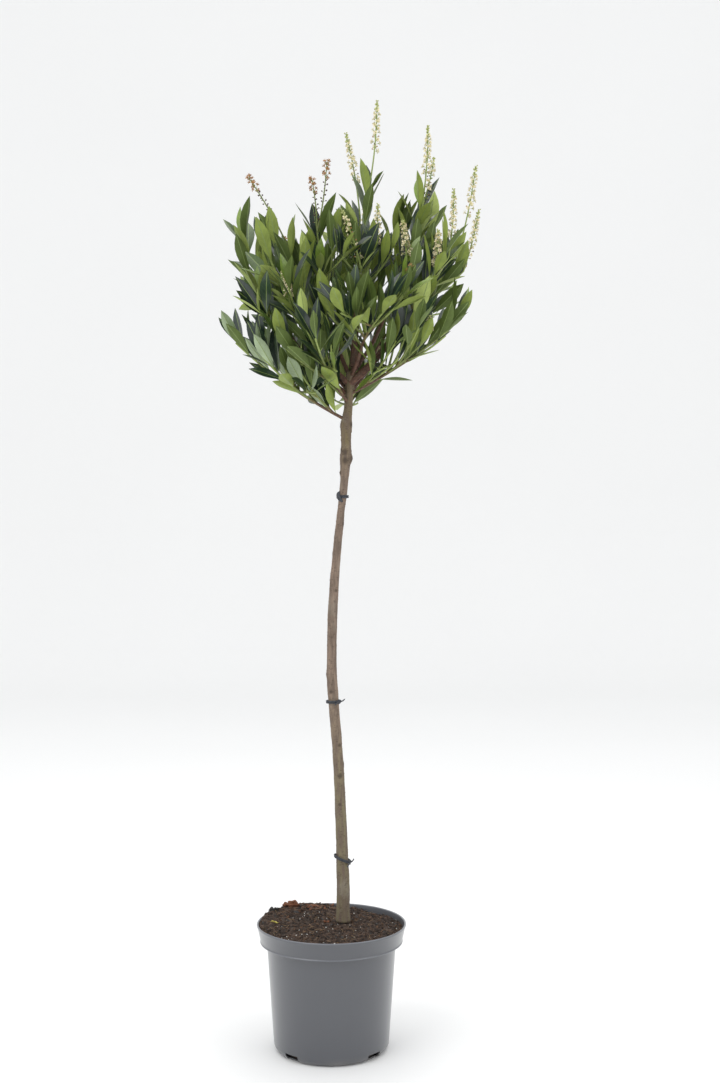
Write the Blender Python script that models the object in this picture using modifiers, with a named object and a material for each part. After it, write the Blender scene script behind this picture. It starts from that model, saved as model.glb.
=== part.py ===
"""A standard cherry laurel in a round nursery pot: a bare trunk with a leafy, flowering crown.

Metres, +Z up. The origin is the middle of the pot's flat underside. The plant is seen from -Y.
The crown is grown by a seeded rule: boughs leave the trunk, each mass of foliage grows on from
one bough (or from the trunk) along named leading shoots, and shorter twigs, leaves and flower
spikes follow on them. What would touch a neighbour is turned, shortened or left out.
"""

import math
import random

import bmesh
import bpy
from mathutils import Matrix, Vector, kdtree
from mathutils.bvhtree import BVHTree

GAP = 0.0003
UP = Vector((0, 0, 1))

# Pot
POT_HEIGHT = 0.234
RIM_RADIUS = 0.1405
COLLAR_DEPTH = 0.034
COLLAR_FOOT_RADIUS = 0.1335
NECK_RADIUS = 0.1215
FOOT_RADIUS = 0.1085
FOOT_ROUNDING = 0.014
NECK_STEP = 0.002
EDGE_EASE = 0.0009
WALL = 0.0024
FLOOR = 0.003
POT_SIDES = 32
NOTCHES = 4
NOTCH_WIDTH = 0.031
NOTCH_HEIGHT = 0.0135
NOTCH_DEPTH = 0.022
NOTCH_TURN = math.radians(-42)

# Soil
SOIL_TOP = 0.2330
SOIL_FLAT_RADIUS = 0.044
SOIL_RINGS = (0.078, 0.108)
SOIL_EDGE_WIDTH = 0.003
SOIL_EDGE_DEPTH = 0.004
SOIL_EDGE_DROP = 0.011
SOIL_HEAP = 0.013
SOIL_HEAP_TOWARDS = math.radians(140)

# Trunk: height above the soil's top, offset to the side, radius
TRUNK_BASE = SOIL_TOP + GAP
TRUNK_STATIONS = (
    (0.000, 0.0217, 0.0150),
    (0.022, 0.0218, 0.0132),
    (0.080, 0.0217, 0.0127),
    (0.156, 0.0192, 0.0113),
    (0.307, 0.0126, 0.0101),
    (0.458, 0.0013, 0.0101),
    (0.533, 0.0009, 0.0091),
    (0.609, 0.0034, 0.0093),
    (0.722, 0.0123, 0.0077),
    (0.835, 0.0243, 0.0079),
    (0.872, 0.0260, 0.0108),
    (0.908, 0.0273, 0.0094),
    (0.938, 0.0283, 0.0106),
    (0.967, 0.0311, 0.0083),
    (1.000, 0.0334, 0.0080),
    (1.030, 0.0362, 0.0096),
    (1.040, 0.0368, 0.0088),
)
TRUNK_BOW = 0.006
TRUNK_SIDES = 8

# Ties round the trunk: height, tilt of the band to the side
TIES = {"tie_low": (0.355, -0.22), "tie_middle": (0.651, 0.03), "tie_high": (1.036, 0.05)}
TIE_THICKNESS = 0.0042
TIE_POINTS = 10
TIE_SIDES = 5

# Boughs: height of the root on the trunk, end, radius at the root and at the end
BOUGHS = {
    "bough_right": (1.251, (0.128, -0.020, 1.356), 0.0074, 0.0048),
    "bough_upper_right": (1.268, (0.098, 0.036, 1.376), 0.0042, 0.0034),
    "bough_centre": (1.282, (0.043, 0.004, 1.352), 0.0044, 0.0035),
    "bough_upper_left": (1.262, (0.004, 0.020, 1.348), 0.0040, 0.0033),
    "bough_left": (1.247, (-0.026, -0.020, 1.324), 0.0052, 0.0036),
    "bough_far_left": (1.228, (-0.048, 0.004, 1.300), 0.0040, 0.0032),
    "bough_front": (1.262, (0.054, -0.046, 1.304), 0.0040, 0.0032),
    "bough_back": (1.256, (0.046, 0.062, 1.330), 0.0044, 0.0033),
    "bough_back_left": (1.236, (-0.008, 0.056, 1.300), 0.0040, 0.0032),
    "bough_back_right": (1.232, (0.080, 0.060, 1.310), 0.0042, 0.0033),
}
BOUGH_SIDES = 6
BOUGH_OUTWARD = 0.62
BOUGH_RISE = 0.42

# Masses of foliage: what carries the mass, then its shoots. The first shoot leads and the others
# branch from it. A shoot is its tip and the tips of the flower spikes on it.
MASSES = {
    "mass_top": (
        "bough_centre",
        ((0.070, 0.000, 1.612), ((0.086, 0.000, 1.781),)),
        ((0.054, 0.030, 1.570), ((0.027, 0.030, 1.729),)),
        ((0.080, -0.040, 1.495), ((0.087, -0.040, 1.577),)),
        ((0.056, -0.060, 1.455), ((0.021, -0.070, 1.560),)),
        ((0.020, 0.055, 1.500), ()),
    ),
    "mass_upper_right": (
        "bough_upper_right",
        ((0.170, 0.000, 1.580), ((0.182, -0.004, 1.733), (0.194, 0.012, 1.678))),
        ((0.140, -0.050, 1.470), ((0.133, -0.052, 1.543),)),
        ((0.120, 0.050, 1.545), ()),
        ((0.160, 0.080, 1.530), ()),
    ),
    "mass_right": (
        "bough_right",
        ((0.235, 0.000, 1.485), ((0.272, 0.000, 1.658),)),
        ((0.218, -0.042, 1.480), ((0.228, -0.040, 1.605),)),
        ((0.252, 0.045, 1.470), ((0.281, 0.040, 1.585), (0.247, 0.060, 1.540))),
        ((0.190, -0.080, 1.440), ((0.197, -0.080, 1.520),)),
        ((0.200, 0.085, 1.480), ()),
    ),
    "mass_low_right": (
        1.229,
        ((0.242, -0.040, 1.366), ()),
        ((0.120, -0.070, 1.320), ()),
        ((0.180, -0.060, 1.330), ((0.182, -0.054, 1.366),)),
        ((0.160, -0.105, 1.340), ()),
        ((0.078, -0.050, 1.262), ()),
    ),
    "mass_upper_left": (
        "bough_upper_left",
        ((-0.027, 0.000, 1.535), ((-0.009, 0.000, 1.666), (-0.037, 0.010, 1.636))),
        ((0.002, 0.038, 1.470), ((0.006, 0.040, 1.550),)),
        ((-0.062, 0.020, 1.475), ()),
        ((-0.020, -0.060, 1.445), ()),
    ),
    "mass_left": (
        "bough_left",
        ((-0.079, -0.020, 1.500), ((-0.154, -0.020, 1.632),)),
        ((-0.074, -0.080, 1.385), ((-0.085, -0.085, 1.446),)),
        ((-0.112, 0.025, 1.465), ()),
        ((-0.112, -0.070, 1.430), ()),
    ),
    "mass_far_left": (
        "bough_far_left",
        ((-0.170, -0.010, 1.522), ()),
        ((-0.132, -0.060, 1.400), ()),
        ((-0.128, -0.105, 1.362), ()),
        ((-0.140, 0.040, 1.395), ()),
    ),
    "mass_low_left": (
        1.180,
        ((-0.178, -0.030, 1.322), ()),
        ((-0.060, -0.060, 1.270), ()),
        ((-0.125, -0.080, 1.290), ()),
        ((-0.120, 0.045, 1.310), ()),
        ((-0.028, -0.050, 1.226), ()),
        ((-0.066, 0.006, 1.240), ()),
    ),
    "mass_front": (
        "bough_front",
        ((0.105, -0.120, 1.375), ()),
        ((0.035, -0.125, 1.340), ()),
        ((0.040, -0.120, 1.385), ()),
        ((0.132, -0.095, 1.410), ((0.147, -0.098, 1.448),)),
        ((0.020, -0.165, 1.355), ()),
    ),
    "mass_front_left": (
        1.212,
        ((-0.045, -0.120, 1.340), ()),
        ((-0.010, -0.080, 1.300), ()),
        ((-0.010, -0.105, 1.380), ()),
        ((-0.095, -0.110, 1.315), ()),
        ((-0.025, -0.165, 1.310), ()),
        ((0.012, -0.085, 1.262), ()),
    ),
    "mass_back": (
        "bough_back",
        ((0.060, 0.140, 1.530), ((0.063, 0.146, 1.635),)),
        ((0.010, 0.130, 1.470), ()),
        ((0.105, 0.120, 1.480), ()),
        ((0.060, 0.190, 1.430), ()),
    ),
    "mass_back_left": (
        "bough_back_left",
        ((-0.085, 0.125, 1.450), ((-0.096, 0.128, 1.548),)),
        ((-0.050, 0.165, 1.410), ()),
        ((-0.030, 0.095, 1.440), ()),
        ((-0.125, 0.105, 1.390), ()),
    ),
    "mass_back_right": (
        "bough_back_right",
        ((0.190, 0.140, 1.445), ((0.204, 0.146, 1.545),)),
        ((0.130, 0.110, 1.360), ()),
        ((0.140, 0.175, 1.410), ()),
        ((0.215, 0.105, 1.400), ()),
    ),
    "mass_low_back": (
        1.200,
        ((0.030, 0.150, 1.335), ()),
        ((0.085, 0.130, 1.320), ()),
        ((-0.030, 0.140, 1.310), ()),
        ((-0.024, 0.070, 1.252), ()),
    ),
}

# Shoots and twigs
TWIG_SIDES = 3
STEM_RADIUS = 0.0032
STEM_BUTT = 0.006
STEM_BEND = 0.35
SHOOT_RADIUS = 0.0024
SHOOT_ROOT_RADIUS = 0.0008
SHOOT_TIP_RADIUS = 0.0015
SHOOT_STEPS = 3
FIRST_FORK = 0.10
LAST_FORK = 0.52
TWIGS_PER_MASS = 1
TWIG_LENGTH = (0.06, 0.10)
TWIG_FROM = (0.30, 0.72)
TWIG_SPREAD = math.radians(36)
TWIG_LIFT = 0.60

# Leaves
LEAF_LENGTH = 0.098
LEAF_WIDTH = 0.0265
LEAF_THICKNESS = 0.0014
LEAF_ARCH = 0.06
LEAF_FOLD = 0.10
LEAF_RIDGE_AT = 0.28
LEAF_SHOULDERS = (0.32, 0.50, 0.72)
BLADE_SIDES = 4
LEAF_TURN = math.radians(137.5)
LEAF_OPEN_TIP = math.radians(11)
LEAF_OPEN_BASE = math.radians(42)
LEAF_LIFT = 0.75
LEAF_FACE_UP = 0.30
LEAF_TWIST = math.radians(24)
LEAF_SPRAWL = 0.10
LEAF_SPRAWL_BY = math.radians(32)
LEAF_OPEN_AFTER = 8
LEAF_OPEN_VARIES = math.radians(5)
LEAF_OPEN_PER_TRY = math.radians(4)
LEAF_TURN_PER_TRY = math.radians(14)
LEAF_SIZES = (0.86, 1.12)
LEAF_WIDTHS = (0.92, 1.10)
YOUNGEST_LEAF = 0.72
YOUNG_LEAVES = 2
OLD_LEAF_LOSS = 0.12
LEAF_LOSS_PER_ROUND = 0.05
LOWEST_LEAF = 0.06
LEAFY_SHARE = 0.92
LEAVES_PER_LEADER = 10
LEAVES_PER_SHOOT = 5
LEAVES_PER_TWIG = 4
FIRST_INTERNODE = 0.006
INTERNODE_GROWTH = 0.0022
LONGEST_INTERNODE = 0.018
CLEAR = 0.0006
ROOT_FREE = 0.16
NEAR = 1.3
TRIES = 9

# Crown's space for leaves, measured from the trunk's head
CROWN_FOOT = 1.165
CROWN_FOOT_RISE = 0.66
CROWN_LEAF_TOP = 1.715
CROWN_LEAF_TOP_FALL = 0.42
CROWN_HALF_DEPTH = 0.245
CROWN_LEFT = -0.236
CROWN_WAIST = 0.058
CROWN_WAIST_REACH = 0.055
CROWN_WAIST_AT = 1.425
CROWN_RIGHT = 0.262

# Flower spikes: share of the spike's length and radius, for a stalk that swells into tiers of bloom
SPIKE_PROFILE = (
    (0.00, 0.0012), (0.22, 0.0016), (0.30, 0.0075), (0.42, 0.0060), (0.54, 0.0082),
    (0.68, 0.0056), (0.80, 0.0062), (0.92, 0.0030), (1.00, 0.0012),
)
SPIKE_SIDES = 4
SPIKE_SUNK = 0.06

SEED = 41
SECTION_SIDES = {TWIG_SIDES, SPIKE_SIDES, TIE_SIDES, BOUGH_SIDES, TRUNK_SIDES}


def clear_scene():
    for obj in list(bpy.data.objects):
        bpy.data.objects.remove(obj, do_unlink=True)


def make_material(name, colour, roughness):
    material = bpy.data.materials.new(name)
    material.use_nodes = True
    shader = material.node_tree.nodes["Principled BSDF"]
    shader.inputs["Base Color"].default_value = (*colour, 1)
    shader.inputs["Roughness"].default_value = roughness
    shader.inputs["Metallic"].default_value = 0
    return material


def make_collection(name, helper=False):
    collection = bpy.data.collections.new(name)
    bpy.context.scene.collection.children.link(collection)
    collection.hide_render = helper
    return collection


def add_object(name, data, collection, material=None):
    obj = bpy.data.objects.new(name, data)
    collection.objects.link(obj)
    if material:
        data.materials.append(material)
    return obj


def mesh_of(bm, name):
    mesh = bpy.data.meshes.new(name)
    bm.to_mesh(mesh)
    bm.free()
    return mesh


def smooth(obj, angle=40):
    obj.data.shade_smooth()
    obj.data.set_sharp_from_angle(angle=math.radians(angle))


# Lines and limbs


def arching(start, end, outward=0.55, rise=0.36):
    """A line that leaves start leaning outwards and turns up towards end, as SHOOT_STEPS + 1 points."""
    span = end - start
    middle = start + Vector((span.x * outward, span.y * outward, span.z * rise))
    points = []
    for step in range(SHOOT_STEPS + 1):
        t = step / SHOOT_STEPS
        points.append(start * (1 - t) ** 2 + middle * 2 * t * (1 - t) + end * t**2)
    return points


def arching_from(start, heading, end):
    """A line that leaves start along heading and turns towards end."""
    bend = start + heading * (end - start).length * STEM_BEND
    shares = [step / SHOOT_STEPS for step in range(SHOOT_STEPS + 1)]
    return [start * (1 - t) ** 2 + bend * 2 * t * (1 - t) + end * t**2 for t in shares]


def line_length(points):
    return sum((b - a).length for a, b in zip(points, points[1:]))


def along(points, share):
    """The place and the heading at this share of a line's length."""
    left = share * line_length(points)
    for a, b in zip(points, points[1:]):
        step = (b - a).length
        if left <= step or b is points[-1]:
            return a.lerp(b, min(left / step, 1)), (b - a).normalized()
        left -= step
    raise ValueError("a line needs two points")


def tapered(first, last, count):
    return [first + (last - first) * i / (count - 1) for i in range(count)]


def side_radii(count):
    """Radii of a shoot that starts inside another, whose root stays within it."""
    return [SHOOT_ROOT_RADIUS, *tapered(SHOOT_RADIUS, SHOOT_TIP_RADIUS, count - 1)]


def section(sides):
    """A ring of this many sides, for a curve to be swept with."""
    curve = bpy.data.curves.new(f"section_{sides}", "CURVE")
    curve.dimensions = "2D"
    spline = curve.splines.new("POLY")
    spline.points.add(sides - 1)
    spline.use_cyclic_u = True
    for i, point in enumerate(spline.points):
        angle = math.tau * i / sides
        point.co = (math.cos(angle), math.sin(angle), 0, 1)
    return add_object(curve.name, curve, helpers)


def limb(name, points, radii, sides, cyclic=False):
    """A curve swept with a ring, its radius set at each point."""
    curve = bpy.data.curves.new(name, "CURVE")
    curve.dimensions = "3D"
    curve.bevel_mode = "OBJECT"
    curve.bevel_object = sections[sides]
    curve.use_fill_caps = not cyclic
    spline = curve.splines.new("POLY")
    spline.points.add(len(points) - 1)
    spline.use_cyclic_u = cyclic
    for point, co, radius in zip(spline.points, points, radii):
        point.co = (*co, 1)
        point.radius = radius
    return add_object(name, curve, helpers)


def as_meshes(limbs, collection):
    """The objects made plain meshes with welded caps and outward faces, and the first ones removed."""
    bpy.context.view_layer.update()
    graph = bpy.context.evaluated_depsgraph_get()
    made = []
    for obj in limbs:
        mesh = bpy.data.meshes.new_from_object(obj.evaluated_get(graph))
        bm = bmesh.new()
        bm.from_mesh(mesh)
        bmesh.ops.remove_doubles(bm, verts=bm.verts, dist=1e-6)
        bmesh.ops.recalc_face_normals(bm, faces=bm.faces)
        bm.to_mesh(mesh)
        bm.free()
        made.append((obj.name, mesh))
    for obj in limbs:
        bpy.data.objects.remove(obj)
    return [add_object(name, mesh, collection) for name, mesh in made]


# Pot and soil


def turned(name, profile, sides, collection):
    """The profile of (radius, height) pairs turned about +Z. It runs down the outer side."""
    bm = bmesh.new()
    verts = [bm.verts.new((radius, 0, height)) for radius, height in profile]
    for a, b in zip(verts, verts[1:]):
        bm.edges.new((a, b))
    obj = add_object(name, mesh_of(bm, name), collection)
    screw = obj.modifiers.new("Turn", "SCREW")
    screw.steps = sides
    screw.render_steps = sides
    screw.use_merge_vertices = True
    screw.merge_threshold = 1e-5
    return obj


def foot_arc(inset, steps=3):
    """The rounded corner at the foot, from its side down to the underside."""
    centre = FOOT_RADIUS - FOOT_ROUNDING
    for step in range(steps + 1):
        angle = math.pi / 2 * step / steps
        radius = FOOT_ROUNDING - inset
        yield centre + radius * math.cos(angle), FOOT_ROUNDING - radius * math.sin(angle)


def collar_inner():
    """The collar's inner wall, from its foot up to the rim."""
    foot_height = POT_HEIGHT - COLLAR_DEPTH + WALL + EDGE_EASE
    foot = (COLLAR_FOOT_RADIUS - WALL - EDGE_EASE, foot_height)
    return foot, (RIM_RADIUS - WALL - EDGE_EASE, POT_HEIGHT)


def make_pot():
    shoulder = POT_HEIGHT - COLLAR_DEPTH
    outer = [
        (RIM_RADIUS - EDGE_EASE, POT_HEIGHT),
        (RIM_RADIUS, POT_HEIGHT - EDGE_EASE),
        (COLLAR_FOOT_RADIUS, shoulder + EDGE_EASE),
        (COLLAR_FOOT_RADIUS - EDGE_EASE, shoulder),
        (NECK_RADIUS, shoulder - NECK_STEP),
        *foot_arc(0),
    ]
    inner = [
        *reversed([(r, max(z, FLOOR)) for r, z in foot_arc(WALL)]),
        (NECK_RADIUS - WALL, shoulder - NECK_STEP),
        *collar_inner(),
    ]
    pot = turned("pot", [*outer, (0, 0), (0, FLOOR), *inner, outer[0]], POT_SIDES, parts)
    pot.data.materials.append(make_material("pot plastic", (0.115, 0.118, 0.130), 0.42))
    for i in range(NOTCHES):
        turn = NOTCH_TURN + math.tau * i / NOTCHES
        heading = Vector((math.cos(turn), math.sin(turn), 0))
        bm = bmesh.new()
        bmesh.ops.create_cube(bm, size=1)
        cutter = add_object(f"notch_{i + 1}", mesh_of(bm, "notch"), cutters)
        cutter.scale = (NOTCH_DEPTH, NOTCH_WIDTH, 2 * NOTCH_HEIGHT)
        cutter.location = heading * FOOT_RADIUS
        cutter.rotation_euler.z = turn
        cutter.display_type = "WIRE"
        cutter.hide_render = True
    cut = pot.modifiers.new("Foot notches", "BOOLEAN")
    cut.operation = "DIFFERENCE"
    cut.operand_type = "COLLECTION"
    cut.collection = cutters
    return pot


def soil_height(x, y, radius):
    """The soil's top: flat round the trunk, lower at the rim and heaped on one side."""
    share = max(0, (radius - SOIL_FLAT_RADIUS) / (RIM_RADIUS - SOIL_FLAT_RADIUS))
    heap = max(0, math.cos(math.atan2(y, x) - SOIL_HEAP_TOWARDS)) ** 1.5
    return SOIL_TOP - SOIL_EDGE_DROP * share**1.5 + SOIL_HEAP * heap * share


def make_soil():
    """One closed body that fills the pot, a little clear of its wall."""
    (foot_radius, foot_height), (rim_radius, rim_height) = collar_inner()
    edge_height = SOIL_TOP - SOIL_EDGE_DROP - SOIL_EDGE_DEPTH
    share = (edge_height - foot_height) / (rim_height - foot_height)
    edge = foot_radius + (rim_radius - foot_radius) * share - 2 * GAP
    neck = NECK_RADIUS - WALL - 2 * GAP
    profile = [
        (0, SOIL_TOP),
        (SOIL_FLAT_RADIUS, SOIL_TOP),
        *[(radius, SOIL_TOP) for radius in SOIL_RINGS],
        (edge - SOIL_EDGE_WIDTH, SOIL_TOP),
        (edge, edge_height),
        (foot_radius - 2 * GAP, foot_height + GAP),
        (neck, POT_HEIGHT - COLLAR_DEPTH - NECK_STEP),
        *[(r, max(z, FLOOR + GAP)) for r, z in foot_arc(WALL + 2 * GAP)],
        (0, FLOOR + GAP),
    ]
    soil = as_meshes([turned("soil", profile, POT_SIDES, helpers)], parts)[0]
    for vert in soil.data.vertices:
        radius = math.hypot(vert.co.x, vert.co.y)
        if vert.co.z > SOIL_TOP - 1e-5:
            vert.co.z = soil_height(vert.co.x, vert.co.y, radius)
    soil.data.materials.append(make_material("potting soil", (0.045, 0.030, 0.022), 0.95))
    return soil


# Trunk, ties and boughs


def trunk_at(height):
    """The trunk's middle and radius at a height, on a smooth line through its stations."""
    rise = height - TRUNK_BASE
    rows = TRUNK_STATIONS
    i = max(1, min(len(rows) - 1, sum(row[0] < rise for row in rows)))
    (low, _, _), (high, _, _) = rows[i - 1], rows[i]
    t = (rise - low) / (high - low)
    before, after = rows[max(i - 2, 0)], rows[min(i + 1, len(rows) - 1)]
    values = []
    for column in (1, 2):
        p0, p1, p2, p3 = before[column], rows[i - 1][column], rows[i][column], after[column]
        slope_1 = (p2 - p0) / (high - before[0]) * (high - low) if i > 1 else p2 - p1
        slope_2 = (p3 - p1) / (after[0] - low) * (high - low)
        values.append(
            p1 * (2 * t**3 - 3 * t**2 + 1) + slope_1 * (t**3 - 2 * t**2 + t)
            + p2 * (3 * t**2 - 2 * t**3) + slope_2 * (t**3 - t**2)
        )
    bow = -TRUNK_BOW * math.sin(math.pi * max(0, min(1, rise / TRUNK_STATIONS[-1][0])))
    return Vector((values[0], bow, height)), values[1]


def trunk_line(grow=0):
    heights = [TRUNK_BASE + row[0] for row in TRUNK_STATIONS]
    places = [trunk_at(height) for height in heights]
    return [place for place, _ in places], [radius + grow for _, radius in places]


def flat_cut(obj, height):
    """Presses the lowest ring of a limb level at this height."""
    lowest = sorted(obj.data.vertices, key=lambda v: v.co.z)[:TRUNK_SIDES]
    for vert in lowest:
        vert.co.z = height


def make_trunk():
    trunk = as_meshes([limb("trunk", *trunk_line(), TRUNK_SIDES)], parts)[0]
    flat_cut(trunk, TRUNK_BASE)
    trunk.data.materials.append(make_material("trunk bark", (0.150, 0.115, 0.075), 0.85))
    smooth(trunk, 60)
    return trunk


def make_ties():
    material = make_material("tie", (0.012, 0.012, 0.014), 0.6)
    bands = []
    for name, (height, tilt) in TIES.items():
        middle, radius = trunk_at(height)
        reach = (radius + 3 * GAP) / math.cos(math.pi / TIE_POINTS) + TIE_THICKNESS / 2
        ring = []
        for i in range(TIE_POINTS):
            angle = math.tau * i / TIE_POINTS
            side = Vector((math.cos(angle), math.sin(angle), tilt * math.cos(angle)))
            ring.append(middle + side * reach)
        bands.append(limb(name, ring, [TIE_THICKNESS / 2] * TIE_POINTS, TIE_SIDES, cyclic=True))
    for band in as_meshes(bands, parts):
        band.data.materials.append(material)


def bough_line(name):
    height, end, _, _ = BOUGHS[name]
    start, _ = trunk_at(height)
    return arching(start, Vector(end), BOUGH_OUTWARD, BOUGH_RISE)


def make_sleeve():
    """The trunk with a little room round it, which cuts what grows out of it."""
    sleeve = as_meshes([limb("trunk_sleeve", *trunk_line(GAP), TRUNK_SIDES)], guides)[0]
    sleeve.hide_render = True
    sleeve.display_type = "WIRE"
    return sleeve


def fit_round_trunk(obj):
    cut = obj.modifiers.new("Fit round the trunk", "BOOLEAN")
    cut.operation = "DIFFERENCE"
    cut.object = sleeve


def make_boughs():
    """Each bough starts inside the trunk's head and is cut back to fit round it."""
    material = make_material("bough bark", (0.125, 0.070, 0.045), 0.8)
    curves = []
    for name, (_, _, thick, thin) in BOUGHS.items():
        line = bough_line(name)
        curves.append(limb(name, line, tapered(thick, thin, len(line)), BOUGH_SIDES))
    boughs = as_meshes(curves, parts)
    for bough in boughs:
        bough.data.materials.append(material)
        fit_round_trunk(bough)
        smooth(bough, 60)
    return boughs


# Growth: the shoots, twigs, flower spikes and leaves of each mass


class Shoot:
    def __init__(self, mass, points, radii, leaves):
        self.mass = mass
        self.points = points
        self.radii = radii
        self.leaves = leaves


class Leaf:
    def __init__(self, mass, root, heading, face, length, width):
        self.mass = mass
        self.root = root
        self.heading = heading
        self.face = (face - heading * face.dot(heading)).normalized()
        self.side = heading.cross(self.face)
        self.length = length
        self.width = width

    def place(self, t, across, lift=0.0, grow=0.0):
        """A point of the blade: t from root to tip, across from edge to edge, lift off its face."""
        droop = -LEAF_ARCH * self.length * t**2 + LEAF_FOLD * self.width * abs(across)
        return (
            self.root
            + self.heading * (t * self.length + grow * (2 * t - 1))
            + self.side * (across * (self.width / 2 + grow))
            + self.face * (droop + lift)
        )

    def corners(self, start=0.0, grow=0.0):
        """The blade's corners, in the order of the blade template's points."""
        made = []
        for co in blade_points:
            if abs(co.z) > 0.5:
                lift = math.copysign(LEAF_THICKNESS / 2 + grow, co.z)
                made.append(self.place(max(LEAF_RIDGE_AT, start + 0.05), 0, lift, grow))
            elif abs(co.y) > 0.9:
                made.append(self.place(1 if co.y > 0 else start, 0, 0, grow))
            else:
                shoulder = LEAF_SHOULDERS[1 + round(2 * co.y)]
                t = max(shoulder, start + 0.05)
                made.append(self.place(t, math.copysign(1, co.x), 0, grow))
        return made

    def middle(self):
        return self.root + self.heading * self.length / 2


def blade_template():
    """A ball with two poles, which each leaf presses into a thin pointed blade."""
    bm = bmesh.new()
    bmesh.ops.create_uvsphere(bm, u_segments=BLADE_SIDES, v_segments=2, radius=1)
    points = [vert.co.copy() for vert in bm.verts]
    faces = [[vert.index for vert in face.verts] for face in bm.faces]
    bm.free()
    return points, faces


def surface(mesh):
    return BVHTree.FromPolygons([v.co for v in mesh.vertices], [p.vertices for p in mesh.polygons])


def stem_line(carrier, tip):
    """A mass's stem: straight on from its bough's tip, just clear of it, or out of the trunk."""
    if not isinstance(carrier, str):
        middle, _ = trunk_at(carrier)
        return arching(middle, tip, 0.60, 0.45)
    bough = bough_line(carrier)
    heading = (bough[-1] - bough[-2]).normalized()
    root = bough[-1] + heading * GAP
    start = root + heading * STEM_BUTT
    return [root, *arching_from(start, heading, tip)]


def leading_shoots(mass, shoots):
    """The mass's leading shoot and those that branch from it, spread along its lower half."""
    (first_tip, _), *others = shoots
    tip = Vector(first_tip)
    stem = stem_line(MASSES[mass][0], tip)
    made = [Shoot(mass, stem, tapered(STEM_RADIUS, SHOOT_TIP_RADIUS, len(stem)), LEAVES_PER_LEADER)]
    for i, (side_tip, _) in enumerate(others):
        share = FIRST_FORK + (LAST_FORK - FIRST_FORK) * i / max(1, len(others) - 1)
        start, _ = along(stem, share)
        line = arching(start, Vector(side_tip))
        made.append(Shoot(mass, line, side_radii(len(line)), LEAVES_PER_SHOOT))
    return made


def short_twigs(mass, shoots, rng):
    """Short twigs that leave the mass's shoots at a seeded place and turn."""
    made = []
    for i in range(TWIGS_PER_MASS):
        parent = shoots[i % len(shoots)]
        start, heading = along(parent.points, rng.uniform(*TWIG_FROM))
        across = Matrix.Rotation(rng.uniform(0, math.tau), 3, heading) @ heading.orthogonal()
        lean = heading * math.cos(TWIG_SPREAD) + across.normalized() * math.sin(TWIG_SPREAD)
        end = start + (lean + UP * TWIG_LIFT).normalized() * rng.uniform(*TWIG_LENGTH)
        line = arching(start, end)
        made.append(Shoot(mass, line, side_radii(len(line)), LEAVES_PER_TWIG))
    return made


def flower_spikes(mass, shoots):
    """(mass, points, radii) of each flower spike, from its shoot's tip to the spike's own tip."""
    made = []
    for shoot, (_, spike_tips) in zip(shoots, MASSES[mass][1:]):
        base = shoot.points[-1].lerp(shoot.points[-2], SPIKE_SUNK)
        for tip in map(Vector, spike_tips):
            line = [base.lerp(tip, share) for share, _ in SPIKE_PROFILE]
            made.append((mass, line, [radius for _, radius in SPIKE_PROFILE]))
    return made


def in_crown(point):
    head, _ = trunk_at(CROWN_FOOT)
    reach = math.hypot(point.x - head.x, point.y - head.y)
    foot = CROWN_FOOT + CROWN_FOOT_RISE * max(0, reach - 0.06)
    top = CROWN_LEAF_TOP - CROWN_LEAF_TOP_FALL * reach
    from_waist = (point.z - CROWN_WAIST_AT) / CROWN_WAIST_REACH
    left = CROWN_LEFT + CROWN_WAIST * math.exp(-(from_waist**2))
    inside = left < point.x < CROWN_RIGHT and abs(point.y) < CROWN_HALF_DEPTH
    return inside and foot < point.z < top


def distance_back(index):
    """How far behind its shoot's tip the leaf at this index stands."""
    steps = (FIRST_INTERNODE + INTERNODE_GROWTH * k for k in range(index + 1))
    return sum(min(step, LONGEST_INTERNODE) for step in steps)


def leaf_for(shoot, index, turn, rng, attempt):
    """The leaf at this index, counted from the shoot's tip. Each later attempt turns it further."""
    back = distance_back(index)
    length = line_length(shoot.points)
    root, heading = along(shoot.points, max(LOWEST_LEAF, 1 - back / length))
    age = min(1, index / LEAF_OPEN_AFTER)
    sway = LEAF_TURN_PER_TRY * ((attempt + 1) // 2) * (-1) ** attempt
    across = Matrix.Rotation(turn + index * LEAF_TURN + sway, 3, heading) @ heading.orthogonal()
    across.normalize()
    opening = LEAF_OPEN_TIP + (LEAF_OPEN_BASE - LEAF_OPEN_TIP) * age**0.7
    opening += rng.uniform(-LEAF_OPEN_VARIES, LEAF_OPEN_VARIES) + LEAF_OPEN_PER_TRY * (attempt % 3)
    opening += LEAF_SPRAWL_BY * (rng.random() < LEAF_SPRAWL)
    lean = heading * math.cos(opening) + across * math.sin(opening)
    lean = (lean + UP * LEAF_LIFT).normalized()
    face = heading * math.sin(opening) - across * math.cos(opening) + UP * LEAF_FACE_UP
    face = Matrix.Rotation(rng.uniform(-LEAF_TWIST, LEAF_TWIST), 3, lean) @ face
    size = YOUNGEST_LEAF + (1 - YOUNGEST_LEAF) * min(1, index / YOUNG_LEAVES)
    size *= rng.uniform(*LEAF_SIZES) * (1 - OLD_LEAF_LOSS * age)
    size *= 1 - LEAF_LOSS_PER_ROUND * (attempt // 3)
    width = LEAF_WIDTH * size * rng.uniform(*LEAF_WIDTHS)
    return Leaf(shoot.mass, root, lean, face, LEAF_LENGTH * size, width)


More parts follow.
